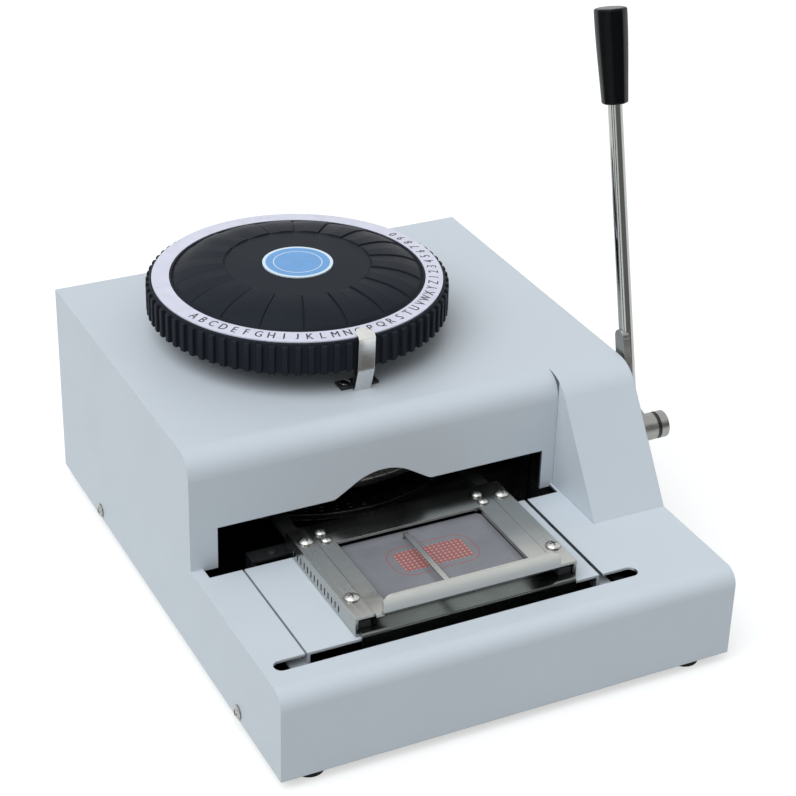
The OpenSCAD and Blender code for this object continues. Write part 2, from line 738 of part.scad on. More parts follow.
module pointer_bracket() {
    tongue_x = [pointer_x - pointer_w / 2, pointer_x + pointer_w / 2];
    tongue_y = [pointer_path[0][0] + pointer_t, pointer_foot_y[0] + 1];
    z = [top_h, top_h + pointer_foot_t];
    color("black") difference() {
        union() {
            block(pointer_foot_x, pointer_foot_y, z);
            block(tongue_x, tongue_y, z);
            block([tongue_x[0] + 1, tongue_x[1] + 0.6], [pointer_foot_y[0], pointer_foot_y[0] + 1.2],
                  [z[0], dial_z0 - 1]);
        }
        for (p = pointer_screws_at) bar_z(p[0], p[1], [z[0] - 1, z[1] + 1], m3_r + screw_gap);
    }
}

module pointer_screws() {
    color("silver") for (p = pointer_screws_at) translate([p[0], p[1], top_h + pointer_foot_t]) m3_screw(6);
}

// ---------- spindle, type wheels and their support ----------

module spindle() {
    color("silver") {
        bar_z(spindle_x, spindle_y, [floor_z + 4, crown_z - nut_h - 2], spindle_r);
        bar_z(spindle_x, spindle_y, [crown_z - nut_h - 2 - eps, crown_z - 2], spindle_r - 3);
    }
}

module spindle_sleeve() {
    color("silver") difference() {
        bar_z(spindle_x, spindle_y, [lower_wheel_z, upper_wheel_z], sleeve_r);
        bar_z(spindle_x, spindle_y, [lower_wheel_z - 1, upper_wheel_z + 1], spindle_r + run_gap);
    }
}

module bearing_ring(z) {
    difference() {
        bar_z(spindle_x, spindle_y, [z, z + bearing_t], bearing_r);
        bar_z(spindle_x, spindle_y, [z - 1, z + bearing_t + 1], spindle_r + run_gap);
        for (face = [z - 1, z + bearing_t - 0.6]) translate([spindle_x, spindle_y, face]) difference() {
            cylinder(r = bearing_r - 1.8, h = 1.6);
            translate([0, 0, -1]) cylinder(r = spindle_r + 1.6, h = 4);
        }
    }
}

module spindle_bearings() {
    color("silver") {
        bearing_ring(floor_z + 8);
        bearing_ring(top_plate_z - 6);
    }
}

module bearing_housing() {
    color("gray") difference() {
        union() {
            bar_z(spindle_x, spindle_y, [floor_z, floor_z + 8 + bearing_t], bearing_r + 5);
            bar_z(spindle_x, spindle_y, [floor_z, floor_z + 4], bearing_r + 16);
        }
        bar_z(spindle_x, spindle_y, [floor_z + 8, floor_z + 9 + bearing_t], bearing_r + seat_gap);
        bar_z(spindle_x, spindle_y, [floor_z - 1, floor_z + 9], spindle_r + 1);
    }
}

module top_plate() {
    x = [4, casing_w - 4];
    y = [180, casing_d - 5];
    color("gray") difference() {
        union() {
            block(x, y, [top_plate_z, top_plate_z + top_plate_t]);
            bar_z(spindle_x, spindle_y, [top_plate_z - 6, top_plate_z + 1], bearing_r + 5);
        }
        bar_z(spindle_x, spindle_y, [top_plate_z - 7, top_plate_z - 6 + bearing_t], bearing_r + seat_gap);
        bar_z(spindle_x, spindle_y, [top_plate_z, top_plate_z + 9], spindle_r + 1);
    }
}

module frame_columns() {
    color("silver") for (p = columns_at) bar_z(p[0], p[1], [floor_z, top_plate_z], column_r);
}

// Notched wheel that clicks the dial from one character to the next
module index_wheel() {
    color("silver") translate([spindle_x, spindle_y, index_z]) difference() {
        cylinder(r = index_r, h = index_t);
        translate([0, 0, -1]) cylinder(r = spindle_r + run_gap, h = index_t + 2);
        for (i = [0 : characters - 1]) rotate([0, 0, i * 360 / characters])
            translate([index_r + 0.4, 0, -1]) cylinder(r = index_depth, h = index_t + 2, $fn = 16);
    }
}

module detent_arm() {
    y = [spindle_y - 6, detent_post_at[1] + 4];
    top = index_z + index_t + 3;
    nose_x = spindle_x + index_r + 1;
    color("gray") difference() {
        union() {
            block([detent_post_at[0] - 3.5, detent_post_at[0] + 3.5], y, [top - 2.5, top]);
            block([detent_post_at[0] + 1.5, detent_post_at[0] + 3.5], y, [index_z, top]);
        }
        bar_z(detent_post_at[0], detent_post_at[1], [index_z - 1, top + 1], detent_pin_r + run_gap);
    }
    color("silver") {
        bar_z(nose_x, spindle_y, [index_z, top - 2.4], 0.9);
        block([nose_x, detent_post_at[0]], [spindle_y - 0.7, spindle_y + 0.7], [top - 4.4, top - 2.4]);
    }
}

module detent_post() {
    color("silver") {
        bar_z(detent_post_at[0], detent_post_at[1], [index_z - 2, top_plate_z], detent_pin_r);
        bar_z(detent_post_at[0], detent_post_at[1], [index_z + index_t + 3.3, top_plate_z], 2 * detent_pin_r);
    }
}

// Disc with one window a character, standing on z = 0
module wheel_disc(hub_z) {
    difference() {
        union() {
            cylinder(r = wheel_r, h = wheel_t);
            translate([0, 0, hub_z]) cylinder(r = wheel_hub_r, h = wheel_hub_h);
        }
        translate([0, 0, hub_z - wheel_hub_h]) cylinder(r = spindle_r + run_gap, h = 3 * wheel_hub_h);
        for (i = [0 : characters - 1]) rotate([0, 0, ram_turn + i * 360 / characters])
            translate([punch_circle_r - punch_w[1] / 2 - 0.1, -punch_w[0] / 2 - 0.1, -1])
                cube([punch_w[1] + 0.2, punch_w[0] + 0.2, wheel_t + 2]);
    }
}

// Slotted spring disc whose fingers hold the punches back
module finger_disc() {
    r = wheel_r - 0.6;
    difference() {
        cylinder(r = r, h = finger_t);
        translate([0, 0, -1]) cylinder(r = wheel_r - 34, h = 3);
        for (i = [0 : characters - 1]) rotate([0, 0, ram_turn + (i + 0.5) * 360 / characters])
            translate([r - finger_cut, -finger_gap / 2, -1]) cube([finger_cut + 1, finger_gap, 3]);
        for (i = [0 : characters - 1]) rotate([0, 0, ram_turn + i * 360 / characters])
            translate([punch_circle_r - punch_w[1] / 2 - 0.1, -punch_w[0] / 2 - 0.1, -1])
                cube([punch_w[1] + 0.2, punch_w[0] + 0.2, 3]);
    }
}

module punches(low) {
    color("silver") translate([spindle_x, spindle_y, low]) for (i = [0 : characters - 1])
        rotate([0, 0, ram_turn + i * 360 / characters])
            translate([punch_circle_r - punch_w[1] / 2, -punch_w[0] / 2, 0])
            cube([punch_w[1], punch_w[0], punch_l]);
}

module upper_type_wheel() {
    color("silver") translate([spindle_x, spindle_y, upper_wheel_z]) wheel_disc(0);
}

module upper_fingers() {
    color("lightgray") translate([spindle_x, spindle_y, upper_wheel_top]) finger_disc();
}

module upper_punches() { punches(upper_wheel_z); }

module lower_type_wheel() {
    color("silver") translate([spindle_x, spindle_y, lower_wheel_bottom]) wheel_disc(wheel_t - wheel_hub_h);
}

module lower_fingers() {
    color("lightgray") translate([spindle_x, spindle_y, lower_wheel_bottom - finger_t]) finger_disc();
}

module lower_punches() { punches(lower_wheel_z - punch_l); }

// ---------- press ----------

// Cast arm that carries a press shaft and guides its ram
module press_arm(z, shaft_z, guide_z0) {
    difference() {
        union() {
            block([arm_lug_x[0], arm_x1], arm_web_y, z);
            for (x = arm_lug_x) {
                block([x, x + arm_lug_t], [emboss_y - 10, arm_web_y[0] + 1], z);
            }
            block([arm_lug_x[0], arm_lug_x[1] + arm_lug_t], [emboss_y - 10, emboss_y + 10],
                  [guide_z0, guide_z0 + ram_guide_h]);
        }
        bar_x([arm_lug_x[0] - 1, arm_lug_x[1] + arm_lug_t + 1], emboss_y, shaft_z, shaft_r + run_gap);
        block([spindle_x - ram_w / 2 - ram_gap, spindle_x + ram_w / 2 + ram_gap],
              [emboss_y - ram_w / 2 - ram_gap, emboss_y + ram_w / 2 + ram_gap],
              [guide_z0 - 1, guide_z0 + ram_guide_h + 1]);
    }
}

module upper_press_arm() {
    color("gray") press_arm(upper_arm_z, upper_shaft_z, upper_arm_z[0]);
}

module lower_press_arm() {
    color("gray") press_arm(lower_arm_z, lower_shaft_z, lower_arm_z[1] - ram_guide_h);
}

module press_side_plate() {
    color("gray") difference() {
        block(side_plate_x, [emboss_y - 14, arm_web_y[1]], [floor_z, top_under - 2]);
        for (z = [upper_shaft_z, lower_shaft_z])
            bar_x([side_plate_x[0] - 1, side_plate_x[1] + 1], emboss_y, z, shaft_r + run_gap);
        block([side_plate_x[0] - 1, side_plate_x[1] + 1], [emboss_y - 15, emboss_y + 6],
              [guide_z, upper_arm_z[0] - 1]);
    }
}

// Crank arm in the Y and Z plane, with its pin running on to pin_x
module crank(x, pin_x, angle) {
    pin = [crank_l * cos(angle), crank_l * sin(angle)];
    along_x(x) {
        circle(crank_hub_r);
        translate(pin) circle(crank_eye_r);
        rotate(angle) translate([0, -crank_web / 2]) square([crank_l, crank_web]);
    }
    bar_x(pin_x, pin[0], pin[1], pin_r);
}

// Spiral cam: its radius grows evenly with the angle on the side that turns onto the ram
module cam(from_angle) {
    along_x([spindle_x - 4, spindle_x + 4]) {
        circle(cam_r - eps);
        polygon(concat([[0, 0]], [for (i = [0 : cam_steps])
            let (turn = i * (lever_swing + 4) / cam_steps, r = cam_r + ram_travel * turn / lever_swing)
            [r * cos(from_angle - turn), r * sin(from_angle - turn)]]));
    }
}

module press_shaft(cam_angle) {
    bar_x([arm_lug_x[0] - 2, side_plate_x[1] + 3], 0, 0, shaft_r);
    cam(cam_angle);
    crank(cross_crank_x, [cross_crank_x[1] - 1, cross_link_x[1] + 0.3], cross_crank_angle);
}

module upper_press_shaft() {
    color("silver") translate([0, emboss_y, upper_shaft_z]) {
        press_shaft(-90);
        bar_x([side_plate_x[1], drive_crank_x[1]], 0, 0, shaft_r);
        crank(drive_crank_x, [drive_link_x[0] - 0.3, drive_crank_x[0] + 1], drive_crank_angle);
    }
}

module lower_press_shaft() {
    color("silver") translate([0, emboss_y, lower_shaft_z]) press_shaft(90);
}

// Square ram standing on z = 0, with a round nose that the cam pushes on
module ram(length) {
    half = ram_w / 2;
    block([-half, half], [-half, half], [0, length - nose_h]);
    block([-half, half], [-nose_r, nose_r], [length - nose_h - 1, length - nose_r]);
    bar_x([-half, half], 0, length - nose_r, nose_r - eps);
}

module upper_ram() {
    color("silver") translate([spindle_x, emboss_y, upper_ram_z[0]]) ram(upper_ram_z[1] - upper_ram_z[0]);
}

module lower_ram() {
    color("silver") translate([spindle_x, emboss_y, lower_ram_z[1]]) mirror([0, 0, 1])
        ram(lower_ram_z[1] - lower_ram_z[0]);
}

// Flat link between two pins
module link(x, from, length, angle) {
    translate([0, from[0], from[1]]) along_x(x) rotate(angle) difference() {
        union() {
            circle(link_eye_r);
            translate([length, 0]) circle(link_eye_r);
            translate([0, -link_web / 2]) square([length, link_web]);
        }
        circle(pin_r + run_gap);
        translate([length, 0]) circle(pin_r + run_gap);
    }
}

module cross_link() {
    from = [emboss_y + crank_l * cos(cross_crank_angle), lower_shaft_z + crank_l * sin(cross_crank_angle)];
    color("gray") link(cross_link_x, from, upper_shaft_z - lower_shaft_z, 90);
}

module drive_link() {
    from = [lever_y + crank_l * cos(drive_crank_angle), lever_z + crank_l * sin(drive_crank_angle)];
    color("gray") link(drive_link_x, from, link_l, link_angle);
}

// ---------- lever ----------

module lever_brackets() {
    color("gray") for (x = lever_bracket_x) difference() {
        along_x(x) {
            translate([lever_y, lever_z]) circle(lever_eye_r);
            translate([lever_y - lever_eye_r, floor_z]) square([2 * lever_eye_r, lever_z - floor_z]);
            translate([lever_y - 16, floor_z]) square([30, 30]);
        }
        bar_x([x[0] - 1, x[1] + 1], lever_y, lever_z, shaft_r + run_gap);
    }
}

module lever_shaft() {
    color("silver") {
        bar_x([lever_bracket_x[0][0] - 1, shaft_end_x - 1], lever_y, lever_z, shaft_r);
        bar_x([band_x[1], shaft_end_x], lever_y, lever_z, lever_hub_r);
        translate([0, lever_y, lever_z])
            crank(drive_crank_x, [drive_link_x[0] - 0.3, drive_crank_x[0] + 1], drive_crank_angle);
    }
    color("black") difference() {
        bar_x(band_x, lever_y, lever_z, lever_hub_r - 0.3);
        bar_x([band_x[0] - 1, band_x[1] + 1], lever_y, lever_z, shaft_r);
    }
}

// A bar from one point to another, wider at one end, in the Y and Z plane
module tapered_bar(from, to, half_from, half_to) {
    along = (to - from) / norm(to - from);
    side = [-along[1], along[0]];
    polygon([from - half_from * side, from + half_from * side, to + half_to * side, to - half_to * side]);
}

// Hub on the shaft with the blade that the rod lies in
module lever_arm() {
    color("silver") difference() {
        union() {
            bar_x(hub_x, lever_y, lever_z, lever_hub_r);
            along_x(arm_plate_x) {
                tapered_bar([lever_y, lever_z], arm_knee, lever_hub_r - 1, arm_knee_r - 0.2);
                translate(arm_knee) circle(arm_knee_r);
                tapered_bar(arm_knee, arm_end, arm_knee_r - 0.2, arm_end_r - 0.1);
                translate(arm_end) circle(arm_end_r);
            }
        }
        bar_x([hub_x[0] - 1, hub_x[1] + 1], lever_y, lever_z, shaft_r + seat_gap);
        translate([rod_x, rod_foot[0], rod_foot[1]]) rotate([-rod_lean, 0, 0])
            translate([0, 0, -6]) cylinder(r = rod_r + seat_gap, h = 60);
    }
}

module lever_rod() {
    color("silver") translate([rod_x, rod_foot[0], rod_foot[1]]) rotate([-rod_lean, 0, 0])
        cylinder(r = rod_r, h = rod_l);
}

module lever_grip() {
    color("black") translate([rod_x, rod_foot[0], rod_foot[1]]) rotate([-rod_lean, 0, 0])
        translate([0, 0, rod_l]) rotate_extrude() polygon([
            [0, 0], [grip_r0 - 1, 0], [grip_r0, 1], [grip_r1, grip_l - 8], [grip_r1 - 0.3, grip_l - 4],
            [grip_r1 - 1.6, grip_l - 1.4], [grip_r1 - 4, grip_l], [0, grip_l]]);
}

// Torsion spring on the lever shaft, drawn as the tube it fills
module lever_spring() {
    color("gray") difference() {
        bar_x([drive_crank_x[1] + 1.2, lever_bracket_x[1][0]], lever_y, lever_z, lever_eye_r);
        bar_x([drive_crank_x[1], lever_bracket_x[1][0] + 1], lever_y, lever_z, shaft_r + 0.5);
    }
}

// ---------- carriage that moves left and right ----------

module guide_rods() {
    color("silver") for (y = guide_y) bar_x(guide_x, y, guide_z, guide_r);
}

module rod_brackets() {
    color("gray") for (y = guide_y, x = [guide_x[0], guide_x[1] - 6]) difference() {
        block([x, x + 6], [y - 8, y + 8], [floor_z, guide_z + 8]);
        bar_x([x - 1, x + 7], y, guide_z, guide_r + seat_gap);
    }
}

module character_rack() {
    middle = (yoke_x[0] + yoke_x[1]) / 2;
    color("silver") difference() {
        union() {
            block(rack_x, rack_y, rack_z);
            for (x = [rack_x[0] - 6, rack_x[1]]) block([x, x + 6], rack_y, [floor_z, rack_z[1]]);
        }
        for (i = [-steps_left - 1 : steps_right + 1])
            block([middle + i * character_pitch - rack_notch / 2, middle + i * character_pitch + rack_notch / 2],
                  [rack_y[0] - 1, rack_y[1] + 1], [rack_z[0] - 1, rack_z[0] + rack_depth]);
    }
}

module tray_outline() {
    clear = 2 * tray_bend_r;
    translate([tray_y0 + tray_bend_r, tray_top - tray_bend_r]) difference() {
        circle(tray_bend_r);
        circle(tray_bend_r - tray_t);
        translate([0, -clear]) square([clear, 2 * clear]);
        translate([-clear, -2 * clear]) square([2 * clear, 2 * clear]);
    }
    translate([tray_y0, block_h[0]]) square([tray_t, tray_top - tray_bend_r - block_h[0]]);
    translate([tray_y0 + tray_bend_r, tray_top - tray_t]) square([tray_y1 - tray_y0 - tray_bend_r, tray_t]);
}

// Tray with rolled front edge, rear wall and a sunk pan below the card
module carriage_tray() {
    color("silver") difference() {
        union() {
            along_x([tray_x0, tray_x1]) tray_outline();
            block(tray_rear_x, [tray_y1 - tray_t, tray_y1], [block_h[0], tray_top]);
        }
        translate([0, 0, pan_z - 1]) linear_extrude(tray_t + 2) round_rect(tray_pan[0], tray_pan[1], tray_pan_r);
    }
    color("silver") translate([0, 0, pan_z + pan_lap - pan_t]) linear_extrude(pan_t)
        round_rect(tray_pan[0] - [pan_rim, pan_rim], tray_pan[1] + [pan_rim, pan_rim], tray_pan_r + pan_rim);
}

module carriage_rails() {
    color("dimgray") for (x = [frame_x0 + steel + slide_gap, frame_x1 - steel - slide_gap - rail_w])
        difference() {
            block([x, x + rail_w], [frame_y0 + 2, rail_y1], [tray_top, tray_top + rail_h]);
            if (x < spindle_x) translate([0, detent_y, detent_z]) rotate([0, 90, 0])
                cylinder(r = detent_r + run_gap, h = x + rail_w - 1);
        }
}

module carriage_blocks() {
    rear = tray_y1 - tray_t;
    front = tray_y0 + tray_t;
    color("dimgray") difference() {
        union() {
            block(block_x, [front, front + 2 * block_half], block_h);
            block(block_x, [rear - 2 * block_half - 1, rear], block_h);
            block(yoke_x, [front + 2 * block_half - 1, rear - 2 * block_half], yoke_z);
        }
        for (y = guide_y) bar_x([block_x[0] - 1, block_x[1] + 1], y, guide_z, guide_r + bush_t);
    }
    color("darkgoldenrod") for (y = guide_y) difference() {
        bar_x(block_x, y, guide_z, guide_r + bush_t);
        bar_x([block_x[0] - 1, block_x[1] + 1], y, guide_z, guide_r + run_gap);
    }
    for (side = [-1, 1]) color("dimgray") difference() {
        y = (rack_y[0] + rack_y[1]) / 2 + side * 3.6;
        block([pawl_pivot[0] - 5, pawl_pivot[0] + 4], [y - 1, y + 1], [yoke_z[1] - 1, pawl_pivot[1] + 3]);
        translate([pawl_pivot[0], y + 2, pawl_pivot[1]]) rotate([90, 0, 0]) cylinder(r = 1.2 + run_gap, h = 4);
    }
    color("dimgray") block([yoke_x[1] - 1, pawl_pivot[0] + 4], [rack_y[0] - 1.6, rack_y[1] + 1.6], yoke_z);
}

// Pawl that holds the carriage at one character position
module space_pawl() {
    middle = (yoke_x[0] + yoke_x[1]) / 2;
    y = (rack_y[0] + rack_y[1]) / 2;
    color("silver") {
        translate([0, y + 2.2, 0]) rotate([90, 0, 0]) linear_extrude(4.4) {
            translate(pawl_pivot) circle(2.4);
            translate([middle - 1.5, pawl_pivot[1] - 2]) square([pawl_pivot[0] - middle + 1.5, 3.4]);
            polygon([[middle - 1.5, pawl_pivot[1] + 1], [middle + 1.5, pawl_pivot[1] + 1],
                     [middle + pawl_tip_w / 2, rack_z[0] - 2], [middle + pawl_tip_w / 2, rack_z[0] - 0.3],
                     [middle - pawl_tip_w / 2, rack_z[0] - 0.3], [middle - pawl_tip_w / 2, rack_z[0] - 2]]);
        }
        translate([pawl_pivot[0], y + 4.6, pawl_pivot[1]]) rotate([90, 0, 0]) cylinder(r = 1.2, h = 9.2);
    }
}

// Sprung plunger that finds one line slot after another
module line_detent() {
    x = frame_x0 + steel + 0.3;
    color("darkgoldenrod") bar_x([x, x + 5.5], detent_y, detent_z, detent_r);
}

// ---------- card frame that moves front to back ----------

module channel(side) {
    x0 = side < 0 ? frame_x0 : frame_x1 - steel;
    flange = side < 0 ? [frame_x0, frame_x0 + channel_w] : [frame_x1 - channel_w, frame_x1];
    foot = side < 0 ? [frame_x0, frame_x0 + channel_foot] : [frame_x1 - channel_foot, frame_x1];
    y = [frame_y0, frame_y1];
    difference() {
        union() {
            block([x0, x0 + steel], y, [frame_bottom, frame_top]);
            block(flange, y, [flange_under, frame_top]);
            block(foot, y, [frame_bottom, frame_bottom + foot_t]);
        }
        for (p = channel_screws) bar_z(p[0], p[1], [flange_under - 1, frame_top + 1], m4_r + screw_gap);
        if (side < 0) for (i = [0 : line_slots - 1])
            block([x0 - 1, x0 + steel + 0.2],
                  [slot_first_y + i * line_pitch - line_slot[0] / 2, slot_first_y + i * line_pitch + line_slot[0] / 2],
                  [line_slot_z - line_slot[1] / 2, line_slot_z + line_slot[1] / 2]);
    }
}

module side_channels() {
    color("silver") {
        channel(-1);
        channel(1);
    }
    color("dimgray") for (p = channel_screws) if (p[1] < face_y / 2) difference() {
        block([p[0] - 3.8, p[0] + 3.4], [p[1] - 6, p[1] + 6], [tray_top + rail_h + 0.3, flange_under]);
        bar_z(p[0], p[1], [tray_top, frame_top], m4_r + screw_gap);
    }
    color("silver") for (p = channel_screws)
        translate([p[0], p[1], frame_top]) m4_screw(4);
}

module card_frame() {
    x0 = frame_x0 + channel_w + 0.15;
    x1 = frame_x1 - channel_w - 0.15;
    bend = 2;
    color("silver") {
        difference() {
            union() {
                block([x0, x1], [frame_y0, frame_y1], [flange_under, frame_top]);
                block([x0, lip_x[0] + 1], [frame_y0 - tongue_l, frame_y0 + 1], [flange_under, frame_top]);
            }
            block([window_x0, window_x1], [frame_y0 - 1, window_y1], [flange_under - 1, frame_top + 1]);
            for (p = frame_screws_at) bar_z(p[0], p[1], [flange_under - 1, frame_top + 1], m3_r + screw_gap);
        }
        along_x(lip_x) {
            translate([lip_y, flange_under + bend]) square([steel, 1.2]);
            translate([lip_y + bend, flange_under]) square([frame_y0 - lip_y - bend + eps, steel]);
            translate([lip_y + bend, flange_under + bend]) difference() {
                circle(bend);
                circle(bend - steel);
                translate([0, -10]) square([10, 20]);
                translate([-10, 0]) square([20, 10]);
            }
        }
        along_y([lip_y, lip_y + steel]) difference() {
            translate([lip_x[0], flange_under + bend]) square([lip_x[1] - lip_x[0], lip_h - bend]);
            for (side = [0, 1]) translate([lip_x[side], flange_under + lip_h]) difference() {
                square(2 * lip_corner_r, center = true);
                translate([side == 0 ? lip_corner_r : -lip_corner_r, -lip_corner_r]) circle(lip_corner_r);
            }
        }
    }
}

// The plates that join the frame's rear corners, with their screws
module corner_plates() {
    for (side = [0, 1]) {
        color("silver") difference() {
            block(corner_plate_x[side], corner_plate_y, [flange_under - corner_plate_t, flange_under]);
            for (p = channel_screws) bar_z(p[0], p[1], [frame_bottom, frame_top], m4_r + screw_gap);
            for (p = frame_screws_at) bar_z(p[0], p[1], [frame_bottom, frame_top], m3_r + screw_gap);
        }
    }
    color("silver") for (p = frame_screws_at) translate([p[0], p[1], frame_top]) m3_screw(3.4);
}

// Ledge that the card's short edge lies on
module card_ledge(side) {
    edge = side < 0 ? card_x0 - card_gap : card_x0 + card_l + card_gap;
    outer = side < 0 ? [edge - ledge_wall, edge] : [edge, edge + ledge_wall];
    shelf = side < 0 ? [edge - ledge_wall, edge + ledge_w] : [edge - ledge_w, edge + ledge_wall];
    y = [card_y0 - 2, card_y0 + card_w - 0.8];
    block(outer, y, [card_z0 - card_gap - ledge_t, flange_under]);
    block(shelf, y, [card_z0 - card_gap - ledge_t, card_z0 - card_gap]);
}

module card_holder() {
    corner_plates();
    color("dimgray") {
        card_ledge(-1);
        card_ledge(1);
    }
    color("silver") {
        block(strip_x, strip_y, [strip_top - strip_t, strip_top]);
        block(strip_x, [strip_y[1] - strip_t, strip_y[1]], [card_z0 + card_t + card_gap, strip_top]);
    }
}

module card() {
    color("lavender") translate([0, 0, card_z0]) linear_extrude(card_t)
        round_rect([card_x0, card_y0], [card_x0 + card_l, card_y0 + card_w], card_corner_r);
}

module located() { translate([-origin_x, -origin_y, 0]) children(); }

located() base_tray();
located() rubber_feet();
located() foot_screws();
located() casing();
located() rear_panel();
located() casing_screws();
located() rear_screws();
located() bridge_panel();
located() bridge_posts();
located() bridge_screws();
located() sill_angle();
located() dial();
located() character_ring();
located() dial_badge();
located() dial_nut();
located() pointer();
located() pointer_bracket();
located() pointer_screws();
located() spindle();
located() spindle_sleeve();
located() spindle_bearings();
located() bearing_housing();
located() top_plate();
located() frame_columns();
located() index_wheel();
located() detent_arm();
located() detent_post();
located() upper_type_wheel();
located() upper_fingers();
located() upper_punches();
located() lower_type_wheel();
located() lower_fingers();
located() lower_punches();
located() upper_press_arm();
located() lower_press_arm();
located() press_side_plate();
located() upper_press_shaft();
located() lower_press_shaft();
located() upper_ram();
located() lower_ram();
located() cross_link();
located() drive_link();
located() lever_brackets();
located() lever_shaft();
located() lever_arm();
located() lever_rod();
located() lever_grip();
located() lever_spring();
located() guide_rods();
located() rod_brackets();
located() character_rack();
located() carriage_tray();
located() carriage_rails();
located() carriage_blocks();
located() space_pawl();
located() line_detent();
located() side_channels();
located() card_frame();
located() card_holder();
located() card();
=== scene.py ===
import math
import bmesh
import bpy
import numpy as np
from mathutils import Matrix, Vector


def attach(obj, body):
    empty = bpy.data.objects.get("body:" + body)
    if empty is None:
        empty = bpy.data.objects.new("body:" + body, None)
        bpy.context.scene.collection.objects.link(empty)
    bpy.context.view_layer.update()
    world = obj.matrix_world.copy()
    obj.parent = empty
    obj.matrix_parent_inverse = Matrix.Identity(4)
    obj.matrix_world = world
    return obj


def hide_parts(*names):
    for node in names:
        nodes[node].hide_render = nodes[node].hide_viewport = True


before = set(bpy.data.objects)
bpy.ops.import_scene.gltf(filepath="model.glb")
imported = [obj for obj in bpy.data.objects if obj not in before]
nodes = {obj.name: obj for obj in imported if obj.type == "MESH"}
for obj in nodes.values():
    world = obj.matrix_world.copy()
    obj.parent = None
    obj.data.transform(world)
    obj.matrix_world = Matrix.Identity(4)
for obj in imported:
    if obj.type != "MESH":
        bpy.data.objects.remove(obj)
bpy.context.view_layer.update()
mm = 0.001
print("frame loaded:", len(nodes), "nodes")

# millimetres: the part frame's origin in the casing's own coordinates, and the dial's axis from that origin
originX, originY = 137.2, 165.1
dialAxis = np.array([110.6 - originX, 230.6 - originY])

cameraSettings = {
    "azimuth": -27.090,      # degrees, from straight in front towards the left
    "elevation": 29.253,
    "roll": 1.663,
    "position": (-0.4524, -0.8941, 0.6660),
    "lens": 94.4,
    "sensor": 36.0,
    "clipStart": 0.01,
}


def linkObject(name, data):
    made = bpy.data.objects.new(name, data)
    bpy.context.scene.collection.objects.link(made)
    return made


def addCamera(settings):
    az, el, roll = (math.radians(settings[k]) for k in ("azimuth", "elevation", "roll"))
    back = np.array([math.sin(az) * math.cos(el), -math.cos(az) * math.cos(el), math.sin(el)])
    right = np.array([math.cos(az), math.sin(az), 0.0])
    up = np.cross(back, right)
    rolledRight = math.cos(roll) * right + math.sin(roll) * up
    rolledUp = math.cos(roll) * up - math.sin(roll) * right
    data = bpy.data.cameras.new("camera")
    data.lens = settings["lens"]
    data.sensor_width = settings["sensor"]
    data.clip_start = settings["clipStart"]
    camera = linkObject("camera", data)
    turn = Matrix((rolledRight, rolledUp, back)).transposed()
    camera.matrix_world = Matrix.Translation(settings["position"]) @ turn.to_4x4()
    bpy.context.scene.camera = camera


# Node helpers

def feed(tree, socket, value):
    if isinstance(value, bpy.types.NodeSocket):
        tree.links.new(value, socket)
    else:
        socket.default_value = value


def addNode(tree, kind, inputs=None, **settings):
    made = tree.nodes.new(kind)
    for key, value in settings.items():
        setattr(made, key, value)
    for key, value in (inputs or {}).items():
        feed(tree, made.inputs[key], value)
    return made


def calc(tree, operation, *values, clamp=False):
    made = addNode(tree, "ShaderNodeMath", dict(enumerate(values)), operation=operation)
    made.use_clamp = clamp
    return made.outputs[0]


def vectorCalc(tree, operation, first, second, output="Vector"):
    return addNode(tree, "ShaderNodeVectorMath", {0: first, 1: second}, operation=operation).outputs[output]


def noise(tree, place, scale, detail=2.0, roughness=0.5):
    return addNode(tree, "ShaderNodeTexNoise", {"Vector": place, "Scale": scale, "Detail": detail,
                                                "Roughness": roughness}).outputs["Fac"]


def remap(tree, value, low, high, toLow, toHigh):
    return addNode(tree, "ShaderNodeMapRange", {"Value": value, "From Min": low, "From Max": high,
                                                "To Min": toLow, "To Max": toHigh}).outputs["Result"]


def mixColour(tree, amount, first, second):
    # a mix node keeps its colour sockets at inputs 6 and 7 and at output 2
    made = addNode(tree, "ShaderNodeMix", data_type="RGBA")
    for index, value in ((0, amount), (6, first), (7, second)):
        feed(tree, made.inputs[index], value)
    return made.outputs[2]


def rgb(colour):
    return (*colour, 1.0)


def scaled(colour, factor):
    return (*(min(1.0, c * factor) for c in colour), 1.0)


# Shared effects: each is one group, placed in a material with that material's own values

def startGroup(name, inputs, outputs):
    group = bpy.data.node_groups.new(name, "ShaderNodeTree")
    for label, kind, value in inputs:
        socket = group.interface.new_socket(label, in_out="INPUT", socket_type=kind)
        if value is not None:
            socket.default_value = value
    for label, kind in outputs:
        group.interface.new_socket(label, in_out="OUTPUT", socket_type=kind)
    return group, group.nodes.new("NodeGroupInput").outputs, group.nodes.new("NodeGroupOutput").inputs


edgeWearHighlightSettings = {"flat": 0.985, "sharp": 0.85, "patchScale": 420.0, "patchRange": (0.42, 0.62)}


def buildEdgeWearHighlight(s):
    # lighter edges where the rounded normal leaves the true one, broken up by noise: part rubbed wear, part painted
    # edge highlight
    group, given, made = startGroup(
        "edgeWearHighlight", [("Place", "NodeSocketVector", None), ("Reach", "NodeSocketFloat", 0.0006),
                     ("Amount", "NodeSocketFloat", 0.5)], [("Mask", "NodeSocketFloat")])
    rounded = addNode(group, "ShaderNodeBevel", {"Radius": given["Reach"]}, samples=4).outputs["Normal"]
    true = addNode(group, "ShaderNodeNewGeometry").outputs["Normal"]
    agreement = vectorCalc(group, "DOT_PRODUCT", rounded, true, "Value")
    edge = remap(group, agreement, s["flat"], s["sharp"], 0.0, 1.0)
    patches = remap(group, noise(group, given["Place"], s["patchScale"], 4.0, 0.7), *s["patchRange"], 0.0, 1.0)
    group.links.new(calc(group, "MULTIPLY", calc(group, "MULTIPLY", edge, patches), given["Amount"]), made["Mask"])
    return group


fineGrainSettings = {"narrower": 4.3}       # how many times finer the second noise is


